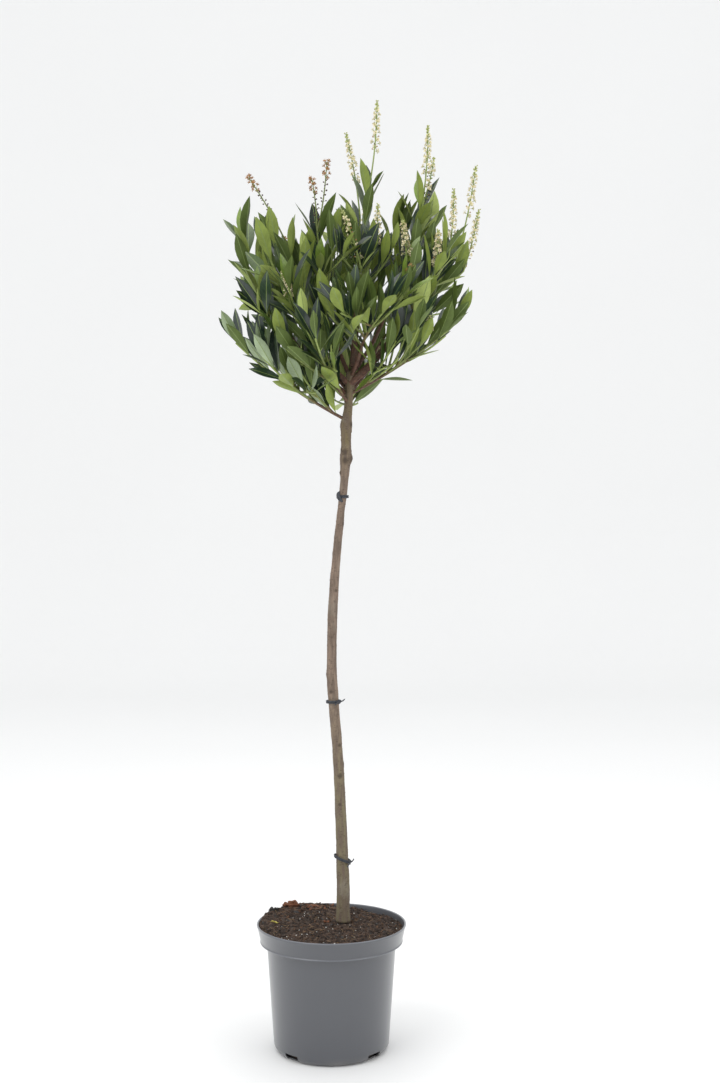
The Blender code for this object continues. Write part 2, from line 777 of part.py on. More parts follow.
def is_free(leaf, wood, placed):
    """True where the leaf stays in the crown and its blade clears the wood, spikes and leaves."""
    if not all(in_crown(leaf.place(t, 0)) for t in (0.5, 1)):
        return False
    blade = BVHTree.FromPolygons(leaf.corners(ROOT_FREE, CLEAR), blade_faces)
    whole = BVHTree.FromPolygons(leaf.corners(0.0, CLEAR), blade_faces)
    for mass, tree in wood:
        if (whole if mass != leaf.mass else blade).overlap(tree):
            return False
    near = placed["places"].find_range(leaf.middle(), leaf.length * NEAR) if placed["ready"] else []
    found = [placed["leaves"][i] for _, i, _ in near] + placed["recent"]
    for other, tree, other_blade in found:
        if other.mass != leaf.mass:
            if whole.overlap(tree):
                return False
        elif blade.overlap(other_blade):
            return False
    return True


def grow_leaves(shoots, wood):
    placed = {"ready": False, "places": None, "leaves": [], "recent": []}
    made = []
    for number, shoot in enumerate(shoots):
        rng = random.Random(SEED * 1000 + number)
        turn = rng.uniform(0, math.tau)
        room = line_length(shoot.points)
        for index in range(shoot.leaves):
            if distance_back(index) > room * LEAFY_SHARE:
                break
            for attempt in range(TRIES):
                leaf = leaf_for(shoot, index, turn, rng, attempt)
                if is_free(leaf, wood, placed):
                    whole = BVHTree.FromPolygons(leaf.corners(), blade_faces)
                    blade = BVHTree.FromPolygons(leaf.corners(ROOT_FREE), blade_faces)
                    placed["recent"].append((leaf, whole, blade))
                    made.append(leaf)
                    break
        placed["leaves"] += placed["recent"]
        placed["recent"] = []
        places = kdtree.KDTree(len(placed["leaves"]))
        for i, (leaf, _, _) in enumerate(placed["leaves"]):
            places.insert(leaf.middle(), i)
        places.balance()
        placed["places"] = places
        placed["ready"] = bool(placed["leaves"])
    return made


def leaf_solid(leaf, name):
    bm = bmesh.new()
    bmesh.ops.create_uvsphere(bm, u_segments=BLADE_SIDES, v_segments=2, radius=1)
    for vert, corner in zip(bm.verts, leaf.corners()):
        vert.co = corner
    return add_object(name, mesh_of(bm, name), helpers)


def keep_outer_shell(obj):
    """Fills a sealed hollow and drops a loose scrap: of the mesh's shells, the largest stays."""
    bm = bmesh.new()
    bm.from_mesh(obj.data)
    shells = []
    unseen = set(bm.verts)
    while unseen:
        shell = {unseen.pop()}
        edge_of_shell = list(shell)
        while edge_of_shell:
            vert = edge_of_shell.pop()
            for edge in vert.link_edges:
                other = edge.other_vert(vert)
                if other in unseen:
                    unseen.remove(other)
                    shell.add(other)
                    edge_of_shell.append(other)
        shells.append(shell)
    largest = max(shells, key=len)
    scraps = [vert for shell in shells if shell is not largest for vert in shell]
    bmesh.ops.delete(bm, geom=scraps, context="VERTS")
    bm.to_mesh(obj.data)
    bm.free()


def join_mass(name, wood, leaves, spikes, material):
    """One solid: the mass's stem with its twigs, leaves and flower spikes fused on."""
    stem, *rest = wood
    group = make_collection(f"{name}_pieces", helper=True)
    pieces = rest + spikes + [leaf_solid(leaf, f"{name}_leaf") for leaf in leaves]
    for piece in pieces:
        group.objects.link(piece)
        helpers.objects.unlink(piece)
    union = stem.modifiers.new("Fuse", "BOOLEAN")
    union.operation = "UNION"
    union.operand_type = "COLLECTION"
    union.collection = group
    union.solver = "MANIFOLD"
    if not isinstance(MASSES[name][0], str):
        fit_round_trunk(stem)
    bpy.context.view_layer.update()
    fused = bpy.data.meshes.new_from_object(
        stem.evaluated_get(bpy.context.evaluated_depsgraph_get())
    )
    obj = add_object(name, fused, parts, material)
    keep_outer_shell(obj)
    for piece in [stem, *pieces]:
        bpy.data.meshes.remove(piece.data)
    bpy.data.collections.remove(group)
    return obj


def grow_crown(limbs):
    shoots = []
    spikes = []
    for number, mass in enumerate(MASSES):
        rng = random.Random(SEED + number)
        leaders = leading_shoots(mass, MASSES[mass][1:])
        shoots += leaders + short_twigs(mass, leaders, rng)
        spikes += flower_spikes(mass, leaders)
    twig_meshes = as_meshes(
        [limb("twig", shoot.points, shoot.radii, TWIG_SIDES) for shoot in shoots], helpers
    )
    spike_meshes = as_meshes(
        [limb("spike", points, radii, SPIKE_SIDES) for _, points, radii in spikes], helpers
    )
    shoots, twig_meshes, wood = without_clashes(shoots, twig_meshes, limbs)
    wood += [(mass, surface(obj.data)) for (mass, _, _), obj in zip(spikes, spike_meshes)]
    leaves = grow_leaves(shoots, wood)
    for mass in MASSES:
        material = make_material(mass.replace("_", " "), (0.060, 0.130, 0.030), 0.45)
        join_mass(
            mass,
            [obj for shoot, obj in zip(shoots, twig_meshes) if shoot.mass == mass],
            [leaf for leaf in leaves if leaf.mass == mass],
            [obj for (owner, _, _), obj in zip(spikes, spike_meshes) if owner == mass],
            material,
        )


def without_clashes(shoots, meshes, limbs):
    """Leaves out a twig that would touch a limb or another mass's wood."""
    kept, kept_meshes, wood = [], [], [(obj.name, surface(obj.data)) for obj in limbs]
    for shoot, obj in zip(shoots, meshes):
        tree = surface(obj.data)
        stem = not any(other.mass == shoot.mass for other in kept)
        own = (shoot.mass, "trunk") if stem else (shoot.mass,)
        clash = any(tree.overlap(other) for mass, other in wood if mass not in own)
        if clash and not stem:
            bpy.data.meshes.remove(obj.data)
            continue
        kept.append(shoot)
        kept_meshes.append(obj)
        wood.append((shoot.mass, tree))
    return kept, kept_meshes, wood


clear_scene()
parts = make_collection("potted cherry laurel")
cutters = make_collection("notch cutters", helper=True)
guides = make_collection("sleeves", helper=True)
helpers = make_collection("helpers", helper=True)
sections = {sides: section(sides) for sides in SECTION_SIDES}
blade_points, blade_faces = blade_template()
make_pot()
make_soil()
trunk_object = make_trunk()
make_ties()
sleeve = make_sleeve()
bough_objects = make_boughs()
grow_crown([trunk_object, *bough_objects])
for obj in list(helpers.objects):
    bpy.data.objects.remove(obj)
bpy.data.collections.remove(helpers)
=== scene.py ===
"""The looks of a cherry laurel grown as a standard: a bare trunk with a leafy, flowering crown,
in a round nursery pot filled with soil.

Metres, +Z up. The origin is the middle of the pot's flat underside. The plant is seen from -Y.
The crown grows by a seeded rule: boughs leave the trunk, each mass of foliage grows on from one
bough (or from the trunk) along named leading shoots, and shorter twigs, leaves and flower spikes
follow on them. What would touch a neighbour is turned, shortened or left out.
"""

import math
import random

import bpy
import numpy as np
from mathutils import Matrix, Vector, kdtree, noise
from mathutils.bvhtree import BVHTree


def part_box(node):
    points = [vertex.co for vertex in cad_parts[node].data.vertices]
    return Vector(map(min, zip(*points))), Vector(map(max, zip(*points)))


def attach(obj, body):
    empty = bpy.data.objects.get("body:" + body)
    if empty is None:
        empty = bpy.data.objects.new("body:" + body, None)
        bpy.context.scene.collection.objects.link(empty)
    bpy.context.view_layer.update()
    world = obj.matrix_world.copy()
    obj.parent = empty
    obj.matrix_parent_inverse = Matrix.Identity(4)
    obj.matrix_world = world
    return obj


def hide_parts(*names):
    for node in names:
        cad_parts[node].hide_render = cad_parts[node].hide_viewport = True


bl_info = {
    "name": "Potted Standard Laurel",
    "version": (1, 0, 0),
    "blender": (4, 5, 0),
    "location": "3D View > Sidebar > Laurel",
    "description": "Makes the pot, soil, trunk, crown and studio of a potted standard laurel",
    "category": "Object",
}

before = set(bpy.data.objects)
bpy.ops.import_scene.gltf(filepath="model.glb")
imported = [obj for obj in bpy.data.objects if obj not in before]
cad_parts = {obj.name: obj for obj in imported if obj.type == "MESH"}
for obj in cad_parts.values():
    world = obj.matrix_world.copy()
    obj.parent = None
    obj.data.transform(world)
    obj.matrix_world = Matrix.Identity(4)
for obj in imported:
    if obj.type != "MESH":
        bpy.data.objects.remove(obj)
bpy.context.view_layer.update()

UP = Vector((0, 0, 1))
SEED = 41
SEED_STEPS = {
    "twigs": 1, "finer twigs": 7, "inner twigs": 11, "flowers": 17, "leaf shapes": 31,
    "sprays": 53, "leaves": 1000, "more leaves": 2000,
}

POT_LOW, POT_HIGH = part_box("pot")
SOIL_LOW, SOIL_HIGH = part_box("soil")
TRUNK_LOW, TRUNK_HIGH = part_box("trunk")
MASS_NODES = sorted(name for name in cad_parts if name.startswith("mass_"))
BOUGH_NODES = sorted(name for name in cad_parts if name.startswith("bough_"))

# Pot
POT_HEIGHT = POT_HIGH.z
RIM_RADIUS = POT_HIGH.x
COLLAR_DEPTH = 0.034
SHOULDER = POT_HEIGHT - COLLAR_DEPTH
COLLAR_FOOT_RADIUS = 0.1335
NECK_RADIUS = 0.1215
FOOT_RADIUS = 0.1085
FOOT_ROUNDING = 0.014
WALL = 0.0024
INNER_DRAFT = 0.0009
FLOOR = 0.003
NOTCHES = 4
NOTCH_SIZE = (0.022, 0.031, 0.027)
NOTCH_TURN = math.radians(-42)
NOTCH_ROUNDING = 0.0012

# Soil
SOIL_TOP = 0.2330
SOIL_FLAT_RADIUS = 0.044
SOIL_EDGE_RADIUS = 0.1358
SOIL_EDGE_DROP = 0.011
SOIL_HEAP = 0.0165
SOIL_HEAP_TOWARDS = math.radians(140)
SOIL_CLEARANCE = 0.0006
SOIL_RINGS = 90
SOIL_SIDES = 240
CLODS = ((45, 0.0030), (120, 0.0026), (330, 0.0015))

# Litter on the soil: sizes, how high it lies, and where the heaped bark gathers
CRUMB_SIZES = (0.0009, 0.0014, 0.0021, 0.0030)
CRUMB_LIFT = 0.0004
PERLITE_SIZES = (0.0006, 0.0013)
PERLITE_LIFT = 0.0009
CHIP_SIZES = (0.002, 0.0050)
CHIP_LIFT = 0.0012
HEAPED_CHIPS = 70
HEAPED_SIZES = (0.003, 0.0075)
HEAPED_LIFT = 0.0016
HEAPED_TURN = (math.radians(122), 0.30)
HEAPED_RADII = (0.086, 0.130)
FIBRE_LENGTHS = (0.003, 0.012)
FIBRE_BENDS = (-0.5, 0.5)
FIBRE_RADIUS = 0.00022
FIBRE_STEPS = 4
TRUNK_CLEARANCE = 0.016
RIM_CLEARANCE = 0.003
LUMP_SINK = 0.55
CURL_START = (-0.114, -0.010)
CURL_RADII = (0.0005, 0.0014, 0.0011, 0.0015, 0.0012, 0.0004)
CURL_LIFT = 0.0022

# Trunk: height above the soil's top, offset to the side, radius
TRUNK_BASE = TRUNK_LOW.z
TRUNK_STATIONS = (
    (0.000, 0.0217, 0.0150), (0.022, 0.0218, 0.0132), (0.080, 0.0217, 0.0127),
    (0.156, 0.0192, 0.0113), (0.307, 0.0126, 0.0101), (0.458, 0.0013, 0.0101),
    (0.533, 0.0009, 0.0091), (0.609, 0.0034, 0.0093), (0.722, 0.0123, 0.0077),
    (0.835, 0.0243, 0.0079), (0.872, 0.0260, 0.0108), (0.908, 0.0273, 0.0094),
    (0.938, 0.0283, 0.0106), (0.967, 0.0311, 0.0083), (1.000, 0.0334, 0.0080),
    (1.030, 0.0362, 0.0096), (1.040, 0.0368, 0.0088),
)
TRUNK_BOW = 0.006
TRUNK_RINGS = 130
TRUNK_SIDES = 14
GRAFT_HEIGHT = 1.075
GRAFT_FADE = 0.05
GRAFT_ROUGHENS = 1.1
PORES_ABOVE = 0.25

# Knots and scars of the trunk: height, bearing in degrees (0 right, 270 front), size, raise
KNOTS = (
    (0.702, 185, 0.0060, 0.0013), (0.670, 250, 0.0050, 0.0006), (0.570, 300, 0.0050, 0.0007),
    (0.534, 350, 0.0060, 0.0012), (0.512, 285, 0.0065, -0.0008), (0.459, 265, 0.0045, 0.0005),
    (1.081, 200, 0.0060, 0.0021), (1.172, 330, 0.0075, 0.0012), (1.172, 160, 0.0070, 0.0010),
    (0.300, 20, 0.0050, 0.0006), (0.420, 120, 0.0060, 0.0010), (0.610, 60, 0.0060, 0.0009),
    (0.760, 95, 0.0055, 0.0009), (0.860, 300, 0.0045, 0.0006), (0.930, 170, 0.0050, 0.0008),
    (0.985, 330, 0.0050, 0.0007), (1.115, 40, 0.0070, 0.0011), (1.104, 270, 0.0090, -0.0009),
    (1.107, 352, 0.0090, 0.0034), (1.096, 345, 0.0036, -0.0016), (1.120, 262, 0.0080, -0.0009),
    (1.124, 215, 0.0040, 0.0016),
)

# Ties round the trunk: height, tilt of the band to the side, bearing of its knot in degrees
TIES = {
    "tie_low": (0.355, -0.40, 335),
    "tie_middle": (0.651, 0.03, 320),
    "tie_high": (1.036, 0.05, 256),
}
TIE_THICKNESS = 0.0042
TIE_BAND_RADIUS = TIE_THICKNESS * 0.34
TIE_KNOT_RADIUS = TIE_THICKNESS * 0.36
TIE_TAIL_END = TIE_THICKNESS * 0.26
TIE_CLEARANCE = 0.0009
TIE_TURNS = ((-0.0013, 0.0), (0.0014, 0.5))
CRESCENT_HALF_HEIGHT = 0.0092
CRESCENT_BEND = 0.0066
CRESCENT_RADIUS = 0.0038

# Boughs: height of the root on the trunk, end, radius at the root and at the end
BOUGH_OUTWARD = 0.62
BOUGH_RISE = 0.42
BOUGH_SIDES = 18
BOUGH_STEPS = 5
BOUGH_SWELL = 0.30
BOUGH_SWELL_FADE = 3.5
BOUGHS = {
    "bough_right": (1.251, (0.128, -0.020, 1.356), 0.0074, 0.0048),
    "bough_upper_right": (1.268, (0.098, 0.036, 1.376), 0.0042, 0.0034),
    "bough_centre": (1.282, (0.043, 0.004, 1.352), 0.0044, 0.0035),
    "bough_upper_left": (1.262, (0.004, 0.020, 1.348), 0.0040, 0.0033),
    "bough_left": (1.247, (-0.026, -0.020, 1.324), 0.0052, 0.0036),
    "bough_far_left": (1.228, (-0.048, 0.004, 1.300), 0.0040, 0.0032),
    "bough_front": (1.262, (0.054, -0.046, 1.304), 0.0040, 0.0032),
    "bough_back": (1.256, (0.046, 0.062, 1.330), 0.0044, 0.0033),
    "bough_back_left": (1.236, (-0.008, 0.056, 1.300), 0.0040, 0.0032),
    "bough_back_right": (1.232, (0.080, 0.060, 1.310), 0.0042, 0.0033),
}

# Masses of foliage: what carries the mass, then its shoots. The first shoot leads and the others
# branch from it. A shoot is its tip and its flower spikes, each a tip and how far it has bloomed.
MASSES = {
    "mass_top": (
        "bough_centre",
        ((0.070, 0.000, 1.612), (((0.086, 0.000, 1.781), "fresh"),)),
        ((0.054, 0.030, 1.570), (((0.027, 0.030, 1.729), "fresh"),)),
        ((0.080, -0.040, 1.495), (((0.087, -0.040, 1.577), "fresh"),)),
        ((0.056, -0.060, 1.455), (((0.021, -0.070, 1.560), "fading"),)),
        ((0.020, 0.055, 1.500), ()),
    ),
    "mass_upper_right": (
        "bough_upper_right",
        (
            (0.170, 0.000, 1.580),
            (((0.182, -0.004, 1.733), "fresh"), ((0.194, 0.012, 1.678), "fading")),
        ),
        ((0.140, -0.050, 1.470), (((0.133, -0.052, 1.543), "full"),)),
        ((0.120, 0.050, 1.545), ()),
        ((0.160, 0.080, 1.530), ()),
    ),
    "mass_right": (
        "bough_right",
        ((0.235, 0.000, 1.485), (((0.272, 0.000, 1.658), "fresh"),)),
        ((0.218, -0.042, 1.480), (((0.228, -0.040, 1.605), "fresh"),)),
        (
            (0.252, 0.045, 1.470),
            (((0.281, 0.040, 1.585), "fresh"), ((0.247, 0.060, 1.540), "fading")),
        ),
        ((0.190, -0.080, 1.440), (((0.197, -0.080, 1.520), "full"),)),
        ((0.200, 0.085, 1.480), ()),
    ),
    "mass_low_right": (
        1.229,
        ((0.242, -0.040, 1.366), ()),
        ((0.120, -0.070, 1.320), ()),
        ((0.180, -0.060, 1.330), (((0.182, -0.054, 1.366), "fresh"),)),
        ((0.160, -0.105, 1.340), ()),
        ((0.078, -0.050, 1.262), ()),
    ),
    "mass_upper_left": (
        "bough_upper_left",
        (
            (-0.027, 0.000, 1.535),
            (((-0.009, 0.000, 1.666), "spent"), ((-0.037, 0.010, 1.636), "spent")),
        ),
        ((0.002, 0.038, 1.470), (((0.006, 0.040, 1.550), "spent"),)),
        ((-0.062, 0.020, 1.475), ()),
        ((-0.020, -0.060, 1.445), ()),
    ),
    "mass_left": (
        "bough_left",
        ((-0.079, -0.020, 1.500), (((-0.154, -0.020, 1.632), "spent"),)),
        ((-0.074, -0.080, 1.385), (((-0.085, -0.085, 1.446), "full"),)),
        ((-0.112, 0.025, 1.465), ()),
        ((-0.112, -0.070, 1.430), ()),
    ),
    "mass_far_left": (
        "bough_far_left",
        ((-0.170, -0.010, 1.522), ()),
        ((-0.132, -0.060, 1.400), ()),
        ((-0.128, -0.105, 1.362), ()),
        ((-0.140, 0.040, 1.395), ()),
    ),
    "mass_low_left": (
        1.180,
        ((-0.178, -0.030, 1.322), ()),
        ((-0.060, -0.060, 1.270), ()),
        ((-0.125, -0.080, 1.290), ()),
        ((-0.120, 0.045, 1.310), ()),
        ((-0.028, -0.050, 1.226), ()),
        ((-0.066, 0.006, 1.240), ()),
    ),
    "mass_front": (
        "bough_front",
        ((0.105, -0.120, 1.375), ()),
        ((0.035, -0.125, 1.340), ()),
        ((0.040, -0.120, 1.385), ()),
        ((0.132, -0.095, 1.410), (((0.147, -0.098, 1.448), "spent"),)),
        ((0.020, -0.165, 1.355), ()),
    ),
    "mass_front_left": (
        1.212,
        ((-0.045, -0.120, 1.340), ()),
        ((-0.010, -0.080, 1.300), ()),
        ((-0.010, -0.105, 1.380), ()),
        ((-0.095, -0.110, 1.315), ()),
        ((-0.025, -0.165, 1.310), ()),
        ((0.012, -0.085, 1.262), ()),
    ),
    "mass_back": (
        "bough_back",
        ((0.060, 0.140, 1.530), (((0.063, 0.146, 1.635), "fresh"),)),
        ((0.010, 0.130, 1.470), ()),
        ((0.105, 0.120, 1.480), ()),
        ((0.060, 0.190, 1.430), ()),
    ),
    "mass_back_left": (
        "bough_back_left",
        ((-0.085, 0.125, 1.450), (((-0.096, 0.128, 1.548), "spent"),)),
        ((-0.050, 0.165, 1.410), ()),
        ((-0.030, 0.095, 1.440), ()),
        ((-0.125, 0.105, 1.390), ()),
    ),
    "mass_back_right": (
        "bough_back_right",
        ((0.190, 0.140, 1.445), (((0.204, 0.146, 1.545), "fresh"),)),
        ((0.130, 0.110, 1.360), ()),
        ((0.140, 0.175, 1.410), ()),
        ((0.215, 0.105, 1.400), ()),
    ),
    "mass_low_back": (
        1.200,
        ((0.030, 0.150, 1.335), ()),
        ((0.085, 0.130, 1.320), ()),
        ((-0.030, 0.140, 1.310), ()),
        ((-0.024, 0.070, 1.252), ()),
    ),
}

# Shoots and twigs
STEM_RADIUS = 0.0032
STEM_BUTT = 0.006
STEM_BEND = 0.35
STEM_OUTWARD = 0.60
STEM_RISE = 0.45
SHOOT_RADIUS = 0.0024
SHOOT_ROOT_RADIUS = 0.0008
SHOOT_TIP_RADIUS = 0.0015
SHOOT_STEPS = 9
SHOOT_SIDES = 6
FIRST_FORK = 0.10
LAST_FORK = 0.52
TWIGS_PER_MASS = 1
FINER_TWIGS_PER_MASS = 4
TWIG_FROM = (0.30, 0.72)
FINER_TWIG_FROM = (0.12, 0.50)
TWIG_LENGTH = (0.06, 0.10)
INNER_MASSES = ("mass_low_left", "mass_front_left", "mass_low_back")
INNER_TWIGS_PER_MASS = 3
INNER_TWIG_FROM = (0.02, 0.26)
INNER_TWIG_LENGTH = (0.045, 0.075)
INNER_TWIG_LIFT = 0.10
TWIG_SPREAD = math.radians(36)
TWIG_LIFT = 0.60
GAP = 0.0003

# How far up a shoot of each rank its bark is old, ripening and green
RIPENING = ((0.30, 0.48, 0.75), (0.06, 0.22, 0.60), (0.0, 0.10, 0.45))

# Flower spikes
SPIKE_RADII = (0.0017, 0.0009)
SPIKE_STEPS = 12
SPIKE_SAG = 0.03
SPIKE_SPACE = (0.004, 0.006)
FLOWERED_LENGTH = 0.094

# Leaves
LEAF_ARCH = 0.06
LEAF_FOLD = 0.10
LEAF_TURN = math.radians(137.5)
LEAF_OPEN_TIP = math.radians(11)
LEAF_OPEN_BASE = math.radians(42)
LEAF_OPEN_AFTER = 8
LEAF_OPEN_CURVE = 0.7
LEAF_OPEN_VARIES = 5
LEAF_OPEN_PER_TRY = math.radians(4)
LEAF_TURN_PER_TRY = math.radians(14)
LEAF_SIZES = (0.86, 1.12)
LEAF_WIDTHS = (0.92, 1.10)
YOUNGEST_LEAF = 0.72
YOUNG_LEAVES = 2
OLD_LEAF_LOSS = 0.12
LEAF_LOSS_PER_ROUND = 0.05
LOWEST_LEAF = 0.06
LEAFY_SHARE = 0.92
LEAF_LIFT = 0.75
LEAF_FACE_UP = 0.30
LEAF_TWIST = math.radians(24)
LEAF_SPRAWL = 0.10
LEAF_SPRAWL_BY = math.radians(32)
LEAVES_PER_LEADER = 10
LEAVES_PER_SHOOT = 5
LEAVES_PER_TWIG = 4
MORE_LEAVES = 9
MORE_LEAVES_HIGH = 5
HIGH_SHOOT = 1.44
FIRST_INTERNODE = 0.006
INTERNODE_GROWTH = 0.0022
LONGEST_INTERNODE = 0.018
CLEAR = 0.0006
ROOT_FREE = 0.16
NEAR = 1.3
TRIES = 9

# Crown's space for leaves, measured from the trunk's head
CROWN_FOOT = 1.165
CROWN_FOOT_RADIUS = 0.06
CROWN_FOOT_RISE = 0.66
CROWN_LEAF_TOP = 1.715
CROWN_LEAF_TOP_FALL = 0.42
CROWN_HALF_DEPTH = 0.226
CROWN_LEFT = -0.236
CROWN_WAIST = 0.058
CROWN_WAIST_REACH = 0.055
CROWN_WAIST_AT = 1.425
CROWN_RIGHT = 0.262

# No leaf hangs in front of the fork: middle across, middle height and radius of the open place
FORK_OPENING = (0.040, 1.270, 0.030)

# Sky between the two tallest boughs and beside the right one: middle across, middle height,
# radius, rise for each metre towards the back
SKY_OPENINGS = (
    (0.112, 1.600, 0.019, 0.24), (0.110, 1.566, 0.015, 0.23), (0.226, 1.556, 0.016, 0.23),
)

# Shares of a leaf's length at which it is kept out of an opening
OPENING_TESTS = (0.15, 0.4, 0.7, 1)

# Outline of a leaf: share of its length, share of its half width
LEAF_OUTLINE = (
    (0.09, 0.07), (0.18, 0.26), (0.30, 0.56), (0.44, 0.86), (0.57, 1.00),
    (0.70, 0.94), (0.82, 0.68), (0.92, 0.32), (1.00, 0.00),
)

# Faces of the plain outline that stands for a blade while blades are kept apart
OUTLINE_FACES = [[0, 1, 2, 3], [0, 3, 4, 5]]


# Settings


def colour_field(name, description, default):
    return bpy.props.FloatVectorProperty(
        name=name, description=description, subtype="COLOR", size=3, default=default, min=0, max=1
    )


def length_field(name, description, default, least=0.0):
    return bpy.props.FloatProperty(
        name=name, description=description,
        subtype="DISTANCE", unit="LENGTH", default=default, min=least,
    )


def count_field(name, description, default, least=0):
    return bpy.props.IntProperty(name=name, description=description, default=default, min=least)


class LaurelPotSettings(bpy.types.PropertyGroup):
    """Size and colour of the nursery pot."""

    sides: count_field("Sides", "Corners round the pot's turned wall", 160, 32)
    colour: colour_field("Plastic", "Colour of the moulded plastic", (0.066, 0.070, 0.081))
    roughness: bpy.props.FloatProperty(
        name="Roughness", description="Roughness of the plastic",
        subtype="FACTOR", default=0.38, min=0, max=1,
    )


class LaurelSoilSettings(bpy.types.PropertyGroup):
    """Grain and colour of the potting soil."""

    colour: colour_field("Peat", "Colour of the moist peat", (0.042, 0.026, 0.018))
    bark_colour: colour_field(
        "Bark chips", "Colour of the bark chips in the soil", (0.165, 0.062, 0.028)
    )
    crumbs: count_field("Crumbs", "Loose crumbs of peat on the soil", 2600)
    perlite: count_field("Perlite", "White grains of perlite", 85)
    fibres: count_field("Fibres", "Pale root and coir fibres", 100)
    chips: count_field("Chips", "Chips of bark and wood", 150)


class LaurelBarkSettings(bpy.types.PropertyGroup):
    """Colours and relief of the bark."""

    low_colour: colour_field("Low bark", "Olive bark at the trunk's foot", (0.168, 0.142, 0.080))
    middle_colour: colour_field(
        "Middle bark", "Grey-brown bark half way up", (0.262, 0.190, 0.142)
    )
    high_colour: colour_field(
        "High bark", "Warm brown bark below the crown", (0.175, 0.135, 0.068)
    )
    bough_colour: colour_field("Bough bark", "Reddish bark of the boughs", (0.110, 0.052, 0.033))
    relief: length_field("Relief", "Height of the bark's ridges and pores", 0.0005)


class LaurelLeafSettings(bpy.types.PropertyGroup):
    """Size of the leaves."""

    length: length_field("Length", "Length of a full leaf", 0.096, 0.01)
    width: length_field("Width", "Width of a full leaf", 0.0245, 0.005)
    thickness: length_field("Thickness", "Thickness of the blade along its midrib", 0.0010, 0.0001)


class LaurelFlowerSettings(bpy.types.PropertyGroup):
    """Size and colour of the flowers."""

    diameter: length_field("Flower", "Width of an open flower", 0.0100, 0.001)
    petal_colour: colour_field("Petals", "Cream of the petals", (0.78, 0.70, 0.46))


class LaurelStageSettings(bpy.types.PropertyGroup):
    """Studio round the plant."""

    backdrop_colour: colour_field(
        "Backdrop", "Colour of the pale floor and backdrop", (0.93, 0.93, 0.925)
    )
    lens: bpy.props.FloatProperty(
        name="Lens", description="Focal length of the camera, on the picture's tall side",
        subtype="DISTANCE_CAMERA", default=45.84, min=1,
    )


# Shader maths


class Value:
    """A socket that takes part in sums: an expression on it adds its Math nodes."""

    def __init__(self, finish, socket):
        self.finish = finish
        self.socket = socket

    def _maths(self, operation, *values):
        inputs = dict(enumerate(values))
        return self.finish.node("ShaderNodeMath", {"operation": operation}, inputs)

    def __add__(self, other):
        return self._maths("ADD", self, other)

    __radd__ = __add__

    def __mul__(self, other):
        return self._maths("MULTIPLY", self, other)

    __rmul__ = __mul__

    def __sub__(self, other):
        return self._maths("SUBTRACT", self, other)

    def __rsub__(self, other):
        return self._maths("SUBTRACT", other, self)

    def between(self, low, high):
        """0 below low and 1 above high, with a smooth step between them."""
        settings = {"interpolation_type": "SMOOTHSTEP"}
        inputs = {"Value": self, "From Min": low, "From Max": high}
        return self.finish.node("ShaderNodeMapRange", settings, inputs, "Result")

    def folded(self, span):
        """The value folded back and forth between 0 and span."""
        return self._maths("PINGPONG", self, span)

    def size(self):
        return self._maths("ABSOLUTE", self)


class Finish:
    """A material whose pattern is worked out on Object coordinates or on a piece's own map."""

    def __init__(self, name, roughness=0.5, **constants):
        self.material = bpy.data.materials.new(name)
        self.material.use_nodes = True
        self.tree = self.material.node_tree
        self.shader = self.tree.nodes["Principled BSDF"]
        self.shader.inputs["Roughness"].default_value = roughness
        for key, value in constants.items():
            self.shader.inputs[key.replace("_", " ")].default_value = value
        self.place = self.node("ShaderNodeTexCoord", {}, {}, "Object")

    def node(self, kind, settings=None, inputs=None, out=0):
        """Adds a node, sets it, gives its sockets values or links, and returns one output."""
        made = self.tree.nodes.new(kind)
        for key, value in (settings or {}).items():
            if key == "stops":
                self.fill_ramp(made.color_ramp, value)
            else:
                setattr(made, key, value)
        for key, value in (inputs or {}).items():
            socket = made.inputs[key]
            if isinstance(value, Value):
                self.tree.links.new(value.socket, socket)
            elif socket.type == "RGBA" and len(value) == 3:
                socket.default_value = (*value, 1)
            else:
                socket.default_value = value
        return Value(self, made.outputs[out])

    def fill_ramp(self, ramp, stops):
        while len(ramp.elements) < len(stops):
            ramp.elements.new(0.5)
        for element, (place, colour) in zip(ramp.elements, stops):
            element.position = place
            element.color = (*colour, 1)

    def stretched(self, scale):
        """Object coordinates drawn out along the axes."""
        return self.node("ShaderNodeMapping", {}, {"Vector": self.place, "Scale": scale}, "Vector")

    def grain(self, scale, detail=3.0, roughness=0.55, place=None):
        inputs = {"Scale": scale, "Detail": detail, "Roughness": roughness}
        inputs["Vector"] = place or self.place
        return self.node("ShaderNodeTexNoise", {}, inputs, "Fac")

    def cells(self, scale, place=None):
        inputs = {"Scale": scale, "Vector": place or self.place}
        return self.node("ShaderNodeTexVoronoi", {"feature": "F1"}, inputs, "Distance")

    def axis(self, name, place=None):
        return self.node("ShaderNodeSeparateXYZ", {}, {0: place or self.place}, name)

    def ramp(self, value, stops):
        return self.node("ShaderNodeValToRGB", {"stops": stops}, {"Fac": value}, "Color")

    def mixed(self, share, first, second):
        """One colour blended into another."""
        settings = {"data_type": "RGBA"}
        return self.node("ShaderNodeMix", settings, {0: share, 6: first, 7: second}, 2)

    def varied(self, share, colour, dark, pale):
        """A colour that runs from a darker to a paler shade of itself."""
        return self.mixed(share, shade(colour, dark), shade(colour, pale))

    def coloured(self, colour):
        self.feed("Base Color", colour)
        return self

    def feed(self, name, value):
        self.tree.links.new(value.socket, self.shader.inputs[name])

    def bumped(self, height, strength, distance):
        inputs = {"Height": height, "Strength": strength, "Distance": distance}
        self.feed("Normal", self.node("ShaderNodeBump", {}, inputs, "Normal"))
        return self


def shade(colour, factor):
    """A colour made lighter or darker."""
    return tuple(min(1, channel * factor) for channel in colour)


